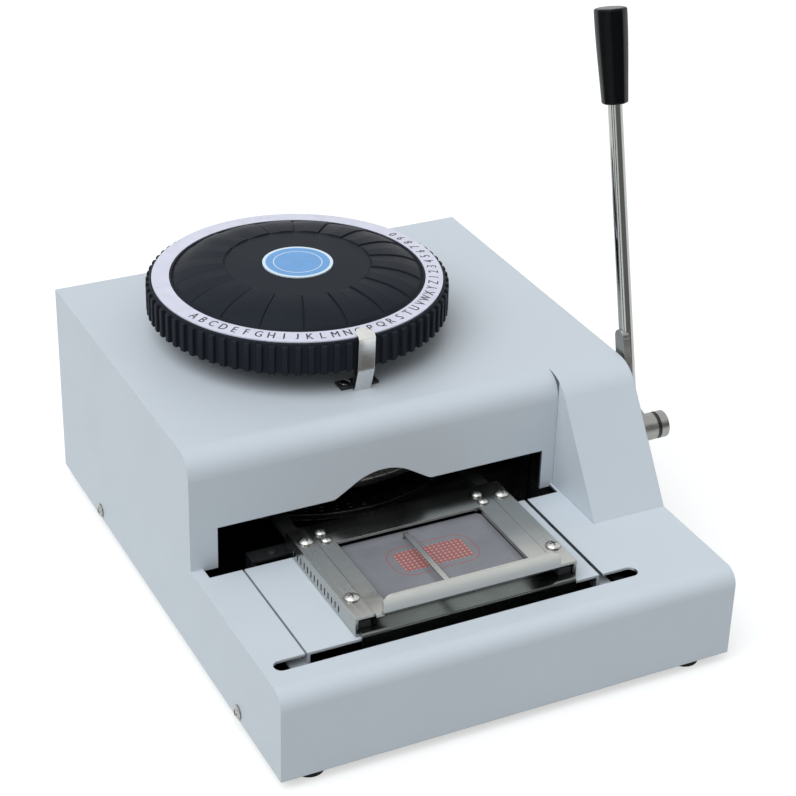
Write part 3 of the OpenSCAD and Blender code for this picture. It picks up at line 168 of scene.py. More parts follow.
def buildFineGrain(s):
    # moulded or sprayed skin: rounded bumps of one size with a finer one on top
    group, given, made = startGroup(
        "fineGrain", [("Place", "NodeSocketVector", None), ("Scale", "NodeSocketFloat", 900.0),
                      ("Fine", "NodeSocketFloat", 0.3)], [("Height", "NodeSocketFloat")])
    wide = noise(group, given["Place"], given["Scale"], 1.0)
    narrow = noise(group, given["Place"], calc(group, "MULTIPLY", given["Scale"], s["narrower"]), 2.0)
    group.links.new(calc(group, "ADD", wide, calc(group, "MULTIPLY", narrow, given["Fine"])), made["Height"])
    return group


brushingSettings = {"fine": 2600.0, "coarse": 700.0, "wide": 160.0, "share": 0.5, "toneRange": (0.35, 0.65)}


def buildBrushing(s):
    # long fine scratches: noise stretched along one direction by scaling the place, in three widths
    group, given, made = startGroup(
        "brushing", [("Place", "NodeSocketVector", None), ("Stretch", "NodeSocketVector", (1.0, 1.0, 1.0))],
        [("Height", "NodeSocketFloat"), ("Tone", "NodeSocketFloat")])
    drawn = vectorCalc(group, "MULTIPLY", given["Place"], given["Stretch"])
    fine = noise(group, drawn, s["fine"], 3.0, 0.7)
    coarse = noise(group, drawn, s["coarse"], 2.0, 0.6)
    wide = noise(group, drawn, s["wide"], 2.0, 0.5)
    halfCoarse = calc(group, "MULTIPLY", coarse, s["share"])
    group.links.new(calc(group, "ADD", fine, halfCoarse), made["Height"])
    tone = calc(group, "ADD", halfCoarse, calc(group, "MULTIPLY", wide, s["share"]))
    group.links.new(remap(group, tone, *s["toneRange"], 0.0, 1.0), made["Tone"])
    return group


smudgeSettings = {"finer": 9.0, "patchShare": 0.75, "fineShare": 0.25, "range": (0.36, 0.66)}


def buildSmudges(s):
    # handling marks: soft large patches with faint streaks
    group, given, made = startGroup(
        "smudges", [("Place", "NodeSocketVector", None), ("Size", "NodeSocketFloat", 40.0)],
        [("Value", "NodeSocketFloat")])
    patch = noise(group, given["Place"], given["Size"], 3.0, 0.6)
    fine = noise(group, given["Place"], calc(group, "MULTIPLY", given["Size"], s["finer"]), 3.0, 0.7)
    mixed = calc(group, "ADD", calc(group, "MULTIPLY", patch, s["patchShare"]),
                 calc(group, "MULTIPLY", fine, s["fineShare"]))
    group.links.new(remap(group, mixed, *s["range"], 0.0, 1.0), made["Value"])
    return group


dustSettings = {"upRange": (0.35, 0.95), "speckScale": 1500.0, "speckRange": (0.66, 0.74), "filmScale": 60.0,
                "film": 0.35}


def buildDust(s):
    # settled dust: specks and film on faces that look up
    group, given, made = startGroup(
        "settledDust", [("Place", "NodeSocketVector", None), ("Amount", "NodeSocketFloat", 0.2)],
        [("Mask", "NodeSocketFloat")])
    normal = addNode(group, "ShaderNodeNewGeometry").outputs["Normal"]
    up = addNode(group, "ShaderNodeSeparateXYZ", {"Vector": normal}).outputs["Z"]
    upward = remap(group, up, *s["upRange"], 0.0, 1.0)
    specks = remap(group, noise(group, given["Place"], s["speckScale"], 1.0), *s["speckRange"], 0.0, 1.0)
    film = calc(group, "MULTIPLY", noise(group, given["Place"], s["filmScale"], 4.0, 0.65), s["film"])
    total = calc(group, "MULTIPLY", calc(group, "ADD", specks, film), upward)
    group.links.new(calc(group, "MULTIPLY", total, given["Amount"], clamp=True), made["Mask"])
    return group


insideShadeSettings = {
    "middle": (0.0, 0.03, 0.03),            # a point in the middle of the shell, metres
    "open": (0.0928, -0.0483, 0.0572),      # the space over the deck is left of, before and above this point
    "soft": 0.001,
}


def buildInsideShadeMask(s):
    # 1 where a wall's face looks towards the middle of the shell, 0 on its outer faces and over the deck: there the
    # paint takes a dark colour, painted shade of the shell's inside
    group, given, made = startGroup(
        "insideShadeMask", [("Place", "NodeSocketVector", None), ("Middle", "NodeSocketVector", s["middle"]),
                       ("Open", "NodeSocketVector", s["open"])],
        [("Mask", "NodeSocketFloat")])
    facing = addNode(group, "ShaderNodeNewGeometry").outputs["True Normal"]
    away = vectorCalc(group, "DOT_PRODUCT", facing,
                      vectorCalc(group, "SUBTRACT", given["Place"], given["Middle"]), "Value")
    own = addNode(group, "ShaderNodeSeparateXYZ", {"Vector": given["Place"]}).outputs
    limit = addNode(group, "ShaderNodeSeparateXYZ", {"Vector": given["Open"]}).outputs
    left = calc(group, "LESS_THAN", own["X"], limit["X"])
    before = calc(group, "LESS_THAN", own["Y"], limit["Y"])
    above = calc(group, "GREATER_THAN", own["Z"], limit["Z"])
    outside = calc(group, "MULTIPLY", calc(group, "MULTIPLY", left, before), above)
    inner = remap(group, away, s["soft"], -s["soft"], 0.0, 1.0)
    group.links.new(calc(group, "MULTIPLY", inner, calc(group, "SUBTRACT", 1.0, outside)), made["Mask"])
    return group


recessShadeSettings = {"open": 0.85, "shut": 0.45, "patchScale": 700.0, "patchRange": (0.30, 0.55), "least": 0.45}


def buildRecessShade(s):
    # darkening where faces stand close together, broken into patches: painted shade in the recesses of screws, seams
    # and the foot of raised edges
    group, given, made = startGroup(
        "recessShade", [("Place", "NodeSocketVector", None), ("Reach", "NodeSocketFloat", 0.0012),
                  ("Amount", "NodeSocketFloat", 0.6)], [("Mask", "NodeSocketFloat")])
    openness = addNode(group, "ShaderNodeAmbientOcclusion", {"Distance": given["Reach"]}, samples=4).outputs["AO"]
    deep = remap(group, openness, s["open"], s["shut"], 0.0, 1.0)
    spots = noise(group, given["Place"], s["patchScale"], 3.0, 0.6)
    patches = remap(group, spots, *s["patchRange"], s["least"], 1.0)
    group.links.new(calc(group, "MULTIPLY", calc(group, "MULTIPLY", deep, patches), given["Amount"]), made["Mask"])
    return group


effects = {
    "edgeWearHighlight": buildEdgeWearHighlight(edgeWearHighlightSettings), "fineGrain": buildFineGrain(fineGrainSettings),
    "brushing": buildBrushing(brushingSettings), "smudges": buildSmudges(smudgeSettings),
    "settledDust": buildDust(dustSettings), "insideShadeMask": buildInsideShadeMask(insideShadeSettings),
    "recessShade": buildRecessShade(recessShadeSettings),
}
print("shared effects built:", len(effects))


def placeEffect(tree, name, **inputs):
    return addNode(tree, "ShaderNodeGroup", inputs, node_tree=effects[name]).outputs


def effect(tree, name, output, **inputs):
    return placeEffect(tree, name, **inputs)[output]


def startMaterial(name, **fixed):
    material = bpy.data.materials.new(name)
    material.use_nodes = True
    tree = material.node_tree
    shader = tree.nodes["Principled BSDF"]
    for key, value in fixed.items():
        shader.inputs[key.replace("_", " ")].default_value = value
    place = addNode(tree, "ShaderNodeTexCoord").outputs["Object"]
    return material, tree, shader, place


def connectBump(tree, shader, height, s):
    # small bumps on a normal that is rounded over the piece's edges
    edge = addNode(tree, "ShaderNodeBevel", {"Radius": s["edge"]}, samples=4).outputs["Normal"]
    bump = addNode(tree, "ShaderNodeBump", {"Height": height, "Distance": s["depth"], "Strength": 1.0,
                                            "Normal": edge})
    tree.links.new(bump.outputs["Normal"], shader.inputs["Normal"])


def addWearHighlightAndDust(tree, place, colour, s):
    # lighter edges: part rubbed wear, part painted edge highlight
    wearHighlight = effect(tree, "edgeWearHighlight", "Mask", Place=place, Reach=s["edge"], Amount=s["wearHighlight"])
    colour = mixColour(tree, wearHighlight, colour, rgb(s["wornHighlightColour"]))
    dust = effect(tree, "settledDust", "Mask", Place=place, Amount=s["dust"])
    return mixColour(tree, dust, colour, rgb(s["dustColour"]))


def finishSkin(tree, shader, place, handled, s):
    rough = remap(tree, handled, 0.0, 1.0, s["roughness"] - s["smoother"], s["roughness"] + s["rougher"])
    tree.links.new(rough, shader.inputs["Roughness"])
    skin = effect(tree, "fineGrain", "Height", Place=place, Scale=s["grain"], Fine=s["fine"])
    connectBump(tree, shader, skin, s)


def makePaint(name, s):
    material, tree, shader, place = startMaterial(name, Specular_IOR_Level=s["specular"])
    drift = effect(tree, "smudges", "Value", Place=place, Size=s["driftSize"])
    colour = mixColour(tree, drift, scaled(s["colour"], 1 - s["drift"]), scaled(s["colour"], 1 + s["drift"]))
    colour = addWearHighlightAndDust(tree, place, colour, s)
    # the shell's inner faces get a dark speckled colour: painted shade
    insideShade = effect(tree, "insideShadeMask", "Mask", Place=place)
    speckle = noise(tree, place, s["speckleSize"], 3.0)
    inner = mixColour(tree, speckle, scaled(s["insideShadeColour"], 1 - s["speckle"]),
                      scaled(s["insideShadeColour"], 1 + s["speckle"]))
    tree.links.new(mixColour(tree, insideShade, colour, inner), shader.inputs["Base Color"])
    handled = effect(tree, "smudges", "Value", Place=place, Size=s["patch"])
    finishSkin(tree, shader, place, handled, s)
    return material


metalCommon = {
    "metallic": 1.0, "patch": 60.0, "wornHighlightColour": (0.75, 0.75, 0.74), "recessShade": 0.0,
    "recessShadeColour": (0.035, 0.035, 0.033), "roughSpread": 0.15, "roughHandled": 0.3,
}


def makeMetal(name, own):
    s = {**metalCommon, **own}
    material, tree, shader, place = startMaterial(name, Metallic=s["metallic"])
    brush = placeEffect(tree, "brushing", Place=place, Stretch=s["stretch"])
    tone = mixColour(tree, brush["Tone"], scaled(s["colour"], 1.0 - s["contrast"]),
                     scaled(s["colour"], 1.0 + s["contrast"]))
    handled = effect(tree, "smudges", "Value", Place=place, Size=s["patch"])
    tone = mixColour(tree, calc(tree, "MULTIPLY", handled, s["stain"]), tone, rgb(s["stainColour"]))
    # lighter edges: part rubbed wear, part painted edge highlight
    wearHighlight = effect(tree, "edgeWearHighlight", "Mask", Place=place, Reach=s["edge"], Amount=s["wearHighlight"])
    tone = mixColour(tree, wearHighlight, tone, rgb(s["wornHighlightColour"]))
    # near-black where faces stand close together: painted shade in recesses
    if s["recessShade"]:
        recessDark = effect(tree, "recessShade", "Mask", Place=place, Amount=s["recessShade"])
        tone = mixColour(tree, recessDark, tone, rgb(s["recessShadeColour"]))
    tree.links.new(tone, shader.inputs["Base Color"])
    rough = remap(tree, brush["Tone"], 0.0, 1.0, s["roughness"] * (1 - s["roughSpread"]),
                  s["roughness"] * (1 + s["roughSpread"]))
    rough = calc(tree, "ADD", rough, calc(tree, "MULTIPLY", handled, s["roughness"] * s["roughHandled"]))
    tree.links.new(rough, shader.inputs["Roughness"])
    connectBump(tree, shader, brush["Height"], s)
    return material


plasticCommon = {"coat": 0.0, "coatRoughness": 0.12, "drift": 0.07, "smoother": 0.05, "rougher": 0.07, "fine": 0.5}


def makePlastic(name, own):
    # also gives back what a print needs to go over the colour
    s = {**plasticCommon, **own}
    material, tree, shader, place = startMaterial(name, Specular_IOR_Level=s["specular"])
    if s["coat"]:
        shader.inputs["Coat Weight"].default_value = s["coat"]
        shader.inputs["Coat Roughness"].default_value = s["coatRoughness"]
    handled = effect(tree, "smudges", "Value", Place=place, Size=s["patch"])
    colour = mixColour(tree, handled, scaled(s["colour"], 1 - s["drift"]), scaled(s["colour"], 1 + s["drift"]))
    colour = addWearHighlightAndDust(tree, place, colour, s)
    tree.links.new(colour, shader.inputs["Base Color"])
    finishSkin(tree, shader, place, handled, s)
    return material, tree, shader, place, colour


# Finishes

paintSettings = {
    "colour": (0.548, 0.602, 0.645), "roughness": 0.46, "specular": 0.30, "grain": 700.0, "depth": 0.00003,
    "edge": 0.0006, "wearHighlight": 0.25, "wornHighlightColour": (0.66, 0.68, 0.70), "dust": 0.10,
    "dustColour": (0.62, 0.63, 0.63), "insideShadeColour": (0.10, 0.11, 0.12), "speckle": 0.4, "speckleSize": 500.0,
    "drift": 0.015, "driftSize": 14.0, "patch": 55.0, "smoother": 0.04, "rougher": 0.05, "fine": 0.25,
}
# near-black sheet: part the parts' own dark finish, part painted shade of the shell's interior
sheetSettings = {
    "colour": (0.024, 0.026, 0.028), "roughness": 0.42, "specular": 0.3, "grain": 1400.0, "depth": 0.00004,
    "edge": 0.0004, "wearHighlight": 0.5, "wornHighlightColour": (0.16, 0.16, 0.16), "dust": 0.12, "dustColour": (0.20, 0.20, 0.19),
    "patch": 70.0,
}
# near-black castings: part the parts' own dark finish, part painted shade of the shell's interior
castSettings = {
    "colour": (0.030, 0.033, 0.035), "roughness": 0.55, "specular": 0.3, "grain": 900.0, "depth": 0.00012,
    "edge": 0.0007, "wearHighlight": 0.5, "wornHighlightColour": (0.22, 0.22, 0.22), "dust": 0.15, "dustColour": (0.16, 0.16, 0.15),
    "patch": 50.0,
}
metalSettings = {
    "stainless": {"colour": (0.54, 0.54, 0.515), "roughness": 0.19, "stretch": (0.05, 1.0, 1.0), "contrast": 0.035,
                  "depth": 0.0000012, "edge": 0.0003, "wearHighlight": 0.7, "stain": 0.25,
                  "stainColour": (0.44, 0.44, 0.42), "recessShade": 0.85},
    "channelSteel": {"colour": (0.54, 0.54, 0.515), "roughness": 0.22, "stretch": (1.0, 0.05, 1.0), "contrast": 0.035,
                     "depth": 0.0000012, "edge": 0.0003, "wearHighlight": 0.7, "stain": 0.25,
                     "stainColour": (0.44, 0.44, 0.42), "recessShade": 0.85},
    "polishedStrip": {"colour": (0.74, 0.74, 0.725), "roughness": 0.09, "stretch": (1.0, 0.2, 0.06), "contrast": 0.05,
                      "depth": 0.000003, "edge": 0.0003, "wearHighlight": 0.5, "stain": 0.4,
                      "stainColour": (0.58, 0.58, 0.57), "patch": 120.0},
    # dark green-grey steel: painted shade of the tray lying under the card frame
    "shadedTraySteel": {"colour": (0.17, 0.19, 0.18), "roughness": 0.26, "stretch": (0.05, 1.0, 1.0), "contrast": 0.05,
                  "depth": 0.0000012, "edge": 0.0003, "wearHighlight": 0.5, "wornHighlightColour": (0.30, 0.32, 0.31),
                  "stain": 0.25, "stainColour": (0.13, 0.15, 0.14), "recessShade": 0.8},
    # pale grey, lightened so the disc reads bright deep in the arch: painted light
    "litFingerSteel": {"colour": (0.72, 0.72, 0.70), "metallic": 0.15, "roughness": 0.45, "stretch": (1.0, 1.0, 0.2),
                    "contrast": 0.06, "depth": 0.000004, "edge": 0.0002, "wearHighlight": 0.3, "stain": 0.3,
                    "stainColour": (0.50, 0.50, 0.48)},
    "screwSteel": {"colour": (0.44, 0.44, 0.42), "roughness": 0.20, "stretch": (1.0, 1.0, 1.0), "contrast": 0.15,
                   "depth": 0.000004, "edge": 0.00025, "wearHighlight": 0.6, "stain": 0.3,
                   "stainColour": (0.24, 0.24, 0.23), "recessShade": 0.85},
    "groundSteel": {"colour": (0.36, 0.36, 0.37), "roughness": 0.24, "stretch": (1.0, 1.0, 0.1), "contrast": 0.12,
                    "depth": 0.000005, "edge": 0.0003, "wearHighlight": 0.6, "stain": 0.3, "stainColour": (0.20, 0.19, 0.17)},
    "chrome": {"colour": (0.44, 0.45, 0.43), "roughness": 0.07, "stretch": (1.0, 1.0, 0.04), "contrast": 0.04,
               "depth": 0.000002, "edge": 0.0003, "wearHighlight": 0.2, "stain": 0.2, "stainColour": (0.42, 0.43, 0.42)},
    "hubSteel": {"colour": (0.33, 0.33, 0.315), "roughness": 0.33, "stretch": (0.08, 1.0, 1.0), "contrast": 0.10,
                 "depth": 0.000006, "edge": 0.0004, "wearHighlight": 0.6, "stain": 0.25, "stainColour": (0.28, 0.28, 0.27)},
    "zinc": {"colour": (0.34, 0.35, 0.36), "roughness": 0.34, "stretch": (1.0, 1.0, 1.0), "contrast": 0.18,
             "depth": 0.000010, "edge": 0.0004, "wearHighlight": 0.5, "stain": 0.4, "stainColour": (0.22, 0.22, 0.21)},
    "wheelAlloy": {"colour": (0.30, 0.30, 0.31), "roughness": 0.30, "stretch": (1.0, 1.0, 0.3), "contrast": 0.12,
                   "depth": 0.000006, "edge": 0.0003, "wearHighlight": 0.6, "stain": 0.3, "stainColour": (0.18, 0.18, 0.18)},
    "springSteel": {"colour": (0.66, 0.66, 0.65), "roughness": 0.30, "stretch": (1.0, 1.0, 0.2), "contrast": 0.12,
                    "depth": 0.000004, "edge": 0.0002, "wearHighlight": 0.5, "stain": 0.3, "stainColour": (0.26, 0.25, 0.23)},
    "bronze": {"colour": (0.42, 0.27, 0.10), "roughness": 0.34, "stretch": (1.0, 1.0, 1.0), "contrast": 0.2,
               "depth": 0.000010, "edge": 0.0003, "wearHighlight": 0.5, "stain": 0.4, "stainColour": (0.16, 0.10, 0.05),
               "wornHighlightColour": (0.68, 0.50, 0.26)},
}
dialSettings = {
    "colour": (0.0165, 0.0195, 0.0260), "roughness": 0.42, "specular": 0.04, "grain": 2200.0, "depth": 0.000018,
    "edge": 0.00035, "wearHighlight": 0.35, "wornHighlightColour": (0.050, 0.054, 0.064), "dust": 0.012,
    "dustColour": (0.22, 0.23, 0.25), "patch": 45.0,
}
ringSettings = {
    "colour": (0.62, 0.63, 0.735), "roughness": 0.30, "specular": 0.4, "grain": 2500.0, "depth": 0.000006,
    "edge": 0.0002, "wearHighlight": 0.15, "wornHighlightColour": (0.86, 0.86, 0.88), "dust": 0.05, "dustColour": (0.55, 0.55, 0.55),
    "patch": 90.0,
}
inkSettings = {
    "colour": (0.030, 0.032, 0.040), "roughness": 0.5, "specular": 0.3, "grain": 3000.0, "depth": 0.000004,
    "edge": 0.0001, "wearHighlight": 0.2, "wornHighlightColour": (0.12, 0.12, 0.13), "dust": 0.05, "dustColour": (0.4, 0.4, 0.4),
    "patch": 400.0,
}
gripSettings = {
    "colour": (0.0030, 0.0036, 0.0044), "roughness": 0.24, "specular": 0.10, "grain": 1800.0, "depth": 0.000020,
    "edge": 0.0004, "wearHighlight": 0.3, "wornHighlightColour": (0.05, 0.05, 0.05), "dust": 0.03, "dustColour": (0.2, 0.2, 0.2),
    "patch": 80.0,
}
rubberSettings = {
    "colour": (0.014, 0.014, 0.014), "roughness": 0.8, "specular": 0.25, "grain": 900.0, "depth": 0.00006,
    "edge": 0.0006, "wearHighlight": 0.3, "wornHighlightColour": (0.05, 0.05, 0.05), "dust": 0.4, "dustColour": (0.12, 0.12, 0.11),
    "patch": 200.0,
}

paint = makePaint("palePaint", paintSettings)
darkSheet = makePlastic("darkSheet", sheetSettings)[0]
castGrey = makePlastic("castGrey", castSettings)[0]
metals = {key: makeMetal(key, values) for key, values in metalSettings.items()}
dialPlastic = makePlastic("dialPlastic", dialSettings)[0]
ringWhite = makePlastic("ringWhite", ringSettings)[0]
ink = makePlastic("ringInk", inkSettings)[0]
gripPlastic = makePlastic("gripPlastic", gripSettings)[0]
rubber = makePlastic("footRubber", rubberSettings)[0]

badgeSettings = {
    "colour": (0.045, 0.27, 0.62), "roughness": 0.24, "specular": 0.5, "grain": 2500.0, "depth": 0.000004,
    "edge": 0.0002, "wearHighlight": 0.1, "wornHighlightColour": (0.5, 0.6, 0.7), "dust": 0.04, "dustColour": (0.6, 0.6, 0.6),
    "patch": 120.0, "coat": 0.5, "lineColour": (0.62, 0.76, 0.86),
    "lines": [(17.9, 19.8), (13.2, 13.8)], "soft": 0.1,       # inner and outer radius of each ring, its soft edge
}


def makeBadge(s):
    # plain blue disc with a pale edge and one thin pale ring: bands in the distance from the dial's axis
    material, tree, shader, place, colour = makePlastic("badgeBlue", s)
    offset = vectorCalc(tree, "SUBTRACT", place, (*(dialAxis * mm), 0.0))
    parts = addNode(tree, "ShaderNodeSeparateXYZ", {"Vector": offset})
    flat = addNode(tree, "ShaderNodeCombineXYZ", {"X": parts.outputs["X"], "Y": parts.outputs["Y"]}).outputs[0]
    away = vectorCalc(tree, "LENGTH", flat, (0.0, 0.0, 0.0), "Value")
    for low, high in s["lines"]:
        half = (high - low) / 2 * mm
        off = calc(tree, "ABSOLUTE", calc(tree, "SUBTRACT", away, (low + high) / 2 * mm))
        band = remap(tree, off, half, half - s["soft"] * mm, 0.0, 1.0)
        colour = mixColour(tree, band, colour, rgb(s["lineColour"]))
    tree.links.new(colour, shader.inputs["Base Color"])
    return material


badgeBlue = makeBadge(badgeSettings)

cardSettings = {
    # dark lilac grey for a pale card: painted shade of the card under the frame
    "colour": (0.190, 0.195, 0.212), "roughness": 0.16, "specular": 0.4, "grain": 2500.0, "depth": 0.000004,
    "edge": 0.0002, "wearHighlight": 0.2, "wornHighlightColour": (0.5, 0.5, 0.55), "dust": 0.03, "dustColour": (0.5, 0.5, 0.5),
    "patch": 60.0, "coat": 0.3,
    "middle": (117.0, 70.5), "half": (24.5, 13.0), "corner": 9.5, "lineW": 0.35,   # printed frame, millimetres
    "block": (20.0, 8.9), "blockCorner": 2.0, "blockSoft": 0.1, "blockInk": 0.82,
    "pitch": 2.55, "dot": 0.62, "dotCore": 0.7, "fadeSize": 260.0, "faded": 0.8,
    "red": (0.34, 0.085, 0.070), "pale": (0.56, 0.34, 0.31),
}


def makeCard(s):
    # print: distance to a rounded rectangle gives the frame line, a repeated cell gives the dots in a block
    material, tree, shader, place, colour = makePlastic("cardPlastic", s)
    middle = ((s["middle"][0] - originX) * mm, (s["middle"][1] - originY) * mm, 0.0)
    parts = addNode(tree, "ShaderNodeSeparateXYZ", {"Vector": vectorCalc(tree, "SUBTRACT", place, middle)})
    x, y = parts.outputs["X"], parts.outputs["Y"]
    ax, ay = calc(tree, "ABSOLUTE", x), calc(tree, "ABSOLUTE", y)

    def boxDistance(half, corner):
        dx = calc(tree, "MAXIMUM", calc(tree, "SUBTRACT", ax, (half[0] - corner) * mm), 0.0)
        dy = calc(tree, "MAXIMUM", calc(tree, "SUBTRACT", ay, (half[1] - corner) * mm), 0.0)
        square = calc(tree, "ADD", calc(tree, "MULTIPLY", dx, dx), calc(tree, "MULTIPLY", dy, dy))
        return calc(tree, "SUBTRACT", calc(tree, "SQRT", square), corner * mm)

    frameLine = calc(tree, "ABSOLUTE", boxDistance(s["half"], s["corner"]))
    line = remap(tree, frameLine, s["lineW"] * mm, s["lineW"] * 0.5 * mm, 0.0, 1.0)
    soft = s["blockSoft"] * mm
    filled = remap(tree, boxDistance(s["block"], s["blockCorner"]), soft, -soft, 0.0, s["blockInk"])
    cell = s["pitch"] * mm
    cx = calc(tree, "ABSOLUTE", calc(tree, "SUBTRACT", calc(tree, "PINGPONG", x, cell), 0.5 * cell))
    cy = calc(tree, "ABSOLUTE", calc(tree, "SUBTRACT", calc(tree, "PINGPONG", y, cell), 0.5 * cell))
    near = calc(tree, "MAXIMUM", cx, cy)
    dots = remap(tree, near, s["dot"] * mm, s["dot"] * s["dotCore"] * mm, 0.0, 1.0)
    patches = effect(tree, "smudges", "Value", Place=place, Size=s["fadeSize"])
    strength = remap(tree, patches, 0.0, 1.0, s["faded"], 1.0)
    redness = calc(tree, "MULTIPLY", calc(tree, "MAXIMUM", line, filled), strength)
    colour = mixColour(tree, redness, colour, rgb(s["red"]))
    colour = mixColour(tree, calc(tree, "MULTIPLY", dots, filled), colour, rgb(s["pale"]))
    tree.links.new(colour, shader.inputs["Base Color"])
    return material


cardPlastic = makeCard(cardSettings)

hubBandSettings = {"low": 269.3, "high": 271.9, "soft": 0.02, "colour": (0.010, 0.010, 0.010)}


def makeShaftSteel(s):
    # the rubber ring near the shaft's end is a band along X, where the metal gives way to black rubber
    material = makeMetal("shaftSteel", metalSettings["hubSteel"])
    tree = material.node_tree
    shader = tree.nodes["Principled BSDF"]
    place = addNode(tree, "ShaderNodeTexCoord").outputs["Object"]
    x = addNode(tree, "ShaderNodeSeparateXYZ", {"Vector": place}).outputs["X"]
    middle = ((s["low"] + s["high"]) / 2 - originX) * mm
    half = (s["high"] - s["low"]) / 2 * mm
    off = calc(tree, "ABSOLUTE", calc(tree, "SUBTRACT", x, middle))
    band = remap(tree, off, half + s["soft"] * mm, half, 0.0, 1.0)
    old = shader.inputs["Base Color"].links[0].from_socket
    tree.links.new(mixColour(tree, band, old, rgb(s["colour"])), shader.inputs["Base Color"])
    tree.links.new(calc(tree, "SUBTRACT", 1.0, band), shader.inputs["Metallic"])
    return material


shaftSteel = makeShaftSteel(hubBandSettings)

finishes = {
    paint: ["casing", "rear_panel", "bridge_panel"],
    darkSheet: ["base_tray", "sill_angle", "pointer_bracket", "lever_brackets", "rod_brackets", "carriage_rails",
                "carriage_blocks"],
    castGrey: ["bearing_housing", "upper_press_arm", "lower_press_arm", "press_side_plate"],
    rubber: ["rubber_feet"],
    metals["screwSteel"]: ["foot_screws", "casing_screws", "rear_screws", "bridge_screws", "pointer_screws",
                           "dial_nut"],
    metals["zinc"]: ["bridge_posts", "top_plate", "index_wheel", "detent_arm", "drive_link", "cross_link",
                     "character_rack", "space_pawl"],
    metals["groundSteel"]: ["spindle", "spindle_sleeve", "spindle_bearings", "frame_columns", "detent_post",
                            "upper_punches", "lower_punches", "upper_press_shaft", "lower_press_shaft", "upper_ram",
                            "lower_ram", "guide_rods"],
    metals["wheelAlloy"]: ["upper_type_wheel", "lower_type_wheel"],
    metals["springSteel"]: ["lever_spring"],
    metals["stainless"]: ["card_frame"],
    metals["shadedTraySteel"]: ["carriage_tray"],
    metals["litFingerSteel"]: ["upper_fingers", "lower_fingers"],
    metals["channelSteel"]: ["side_channels", "card_holder"],
    metals["polishedStrip"]: ["pointer"],
    metals["chrome"]: ["lever_rod"],
    metals["hubSteel"]: ["lever_arm"],
    metals["bronze"]: ["line_detent"],
    shaftSteel: ["lever_shaft"],
    dialPlastic: ["dial"],
    ringWhite: ["character_ring"],
    badgeBlue: ["dial_badge"],
    gripPlastic: ["lever_grip"],
    cardPlastic: ["card"],
}


def dressNodes():
    left = set(nodes)
    for material, names in finishes.items():
        for name in names:
            mesh = nodes[name].data
            mesh.materials.clear()
            mesh.materials.append(material)
            left.discard(name)
    print("finishes given, nodes left without one:", sorted(left))


dressNodes()


# New pieces

def gridMesh(name, points, closedRows, closedColumns, material, **finish):
    # a grid of points, rows by columns by 3, joined in quads; a closed direction joins its last line to its first
    rows, columns = points.shape[:2]
    index = np.arange(rows * columns).reshape(rows, columns)
    if closedRows:
        index = np.vstack([index, index[:1]])
    if closedColumns:
        index = np.hstack([index, index[:, :1]])
    quads = np.stack([index[:-1, :-1], index[:-1, 1:], index[1:, 1:], index[1:, :-1]], axis=-1).reshape(-1, 4)
    return solidMesh(name, points.reshape(-1, 3), quads, material, **finish)


def solidMesh(name, points, faces, material, sharp=38.0, weld=0.0):
    # a closed mesh with smooth faces: edges over the sharp angle stay hard, points nearer than weld become one
    mesh = bpy.data.meshes.new(name)
    mesh.from_pydata(points.tolist(), [], faces.tolist())
    made = linkObject(name, mesh)
    mesh.materials.append(material)
    work = bmesh.new()
    work.from_mesh(mesh)
    if weld:
        bmesh.ops.remove_doubles(work, verts=work.verts, dist=weld)
    bmesh.ops.recalc_face_normals(work, faces=work.faces)
    work.to_mesh(mesh)
    work.free()
    mesh.shade_smooth()
    mesh.set_sharp_from_angle(angle=math.radians(sharp))
    return made


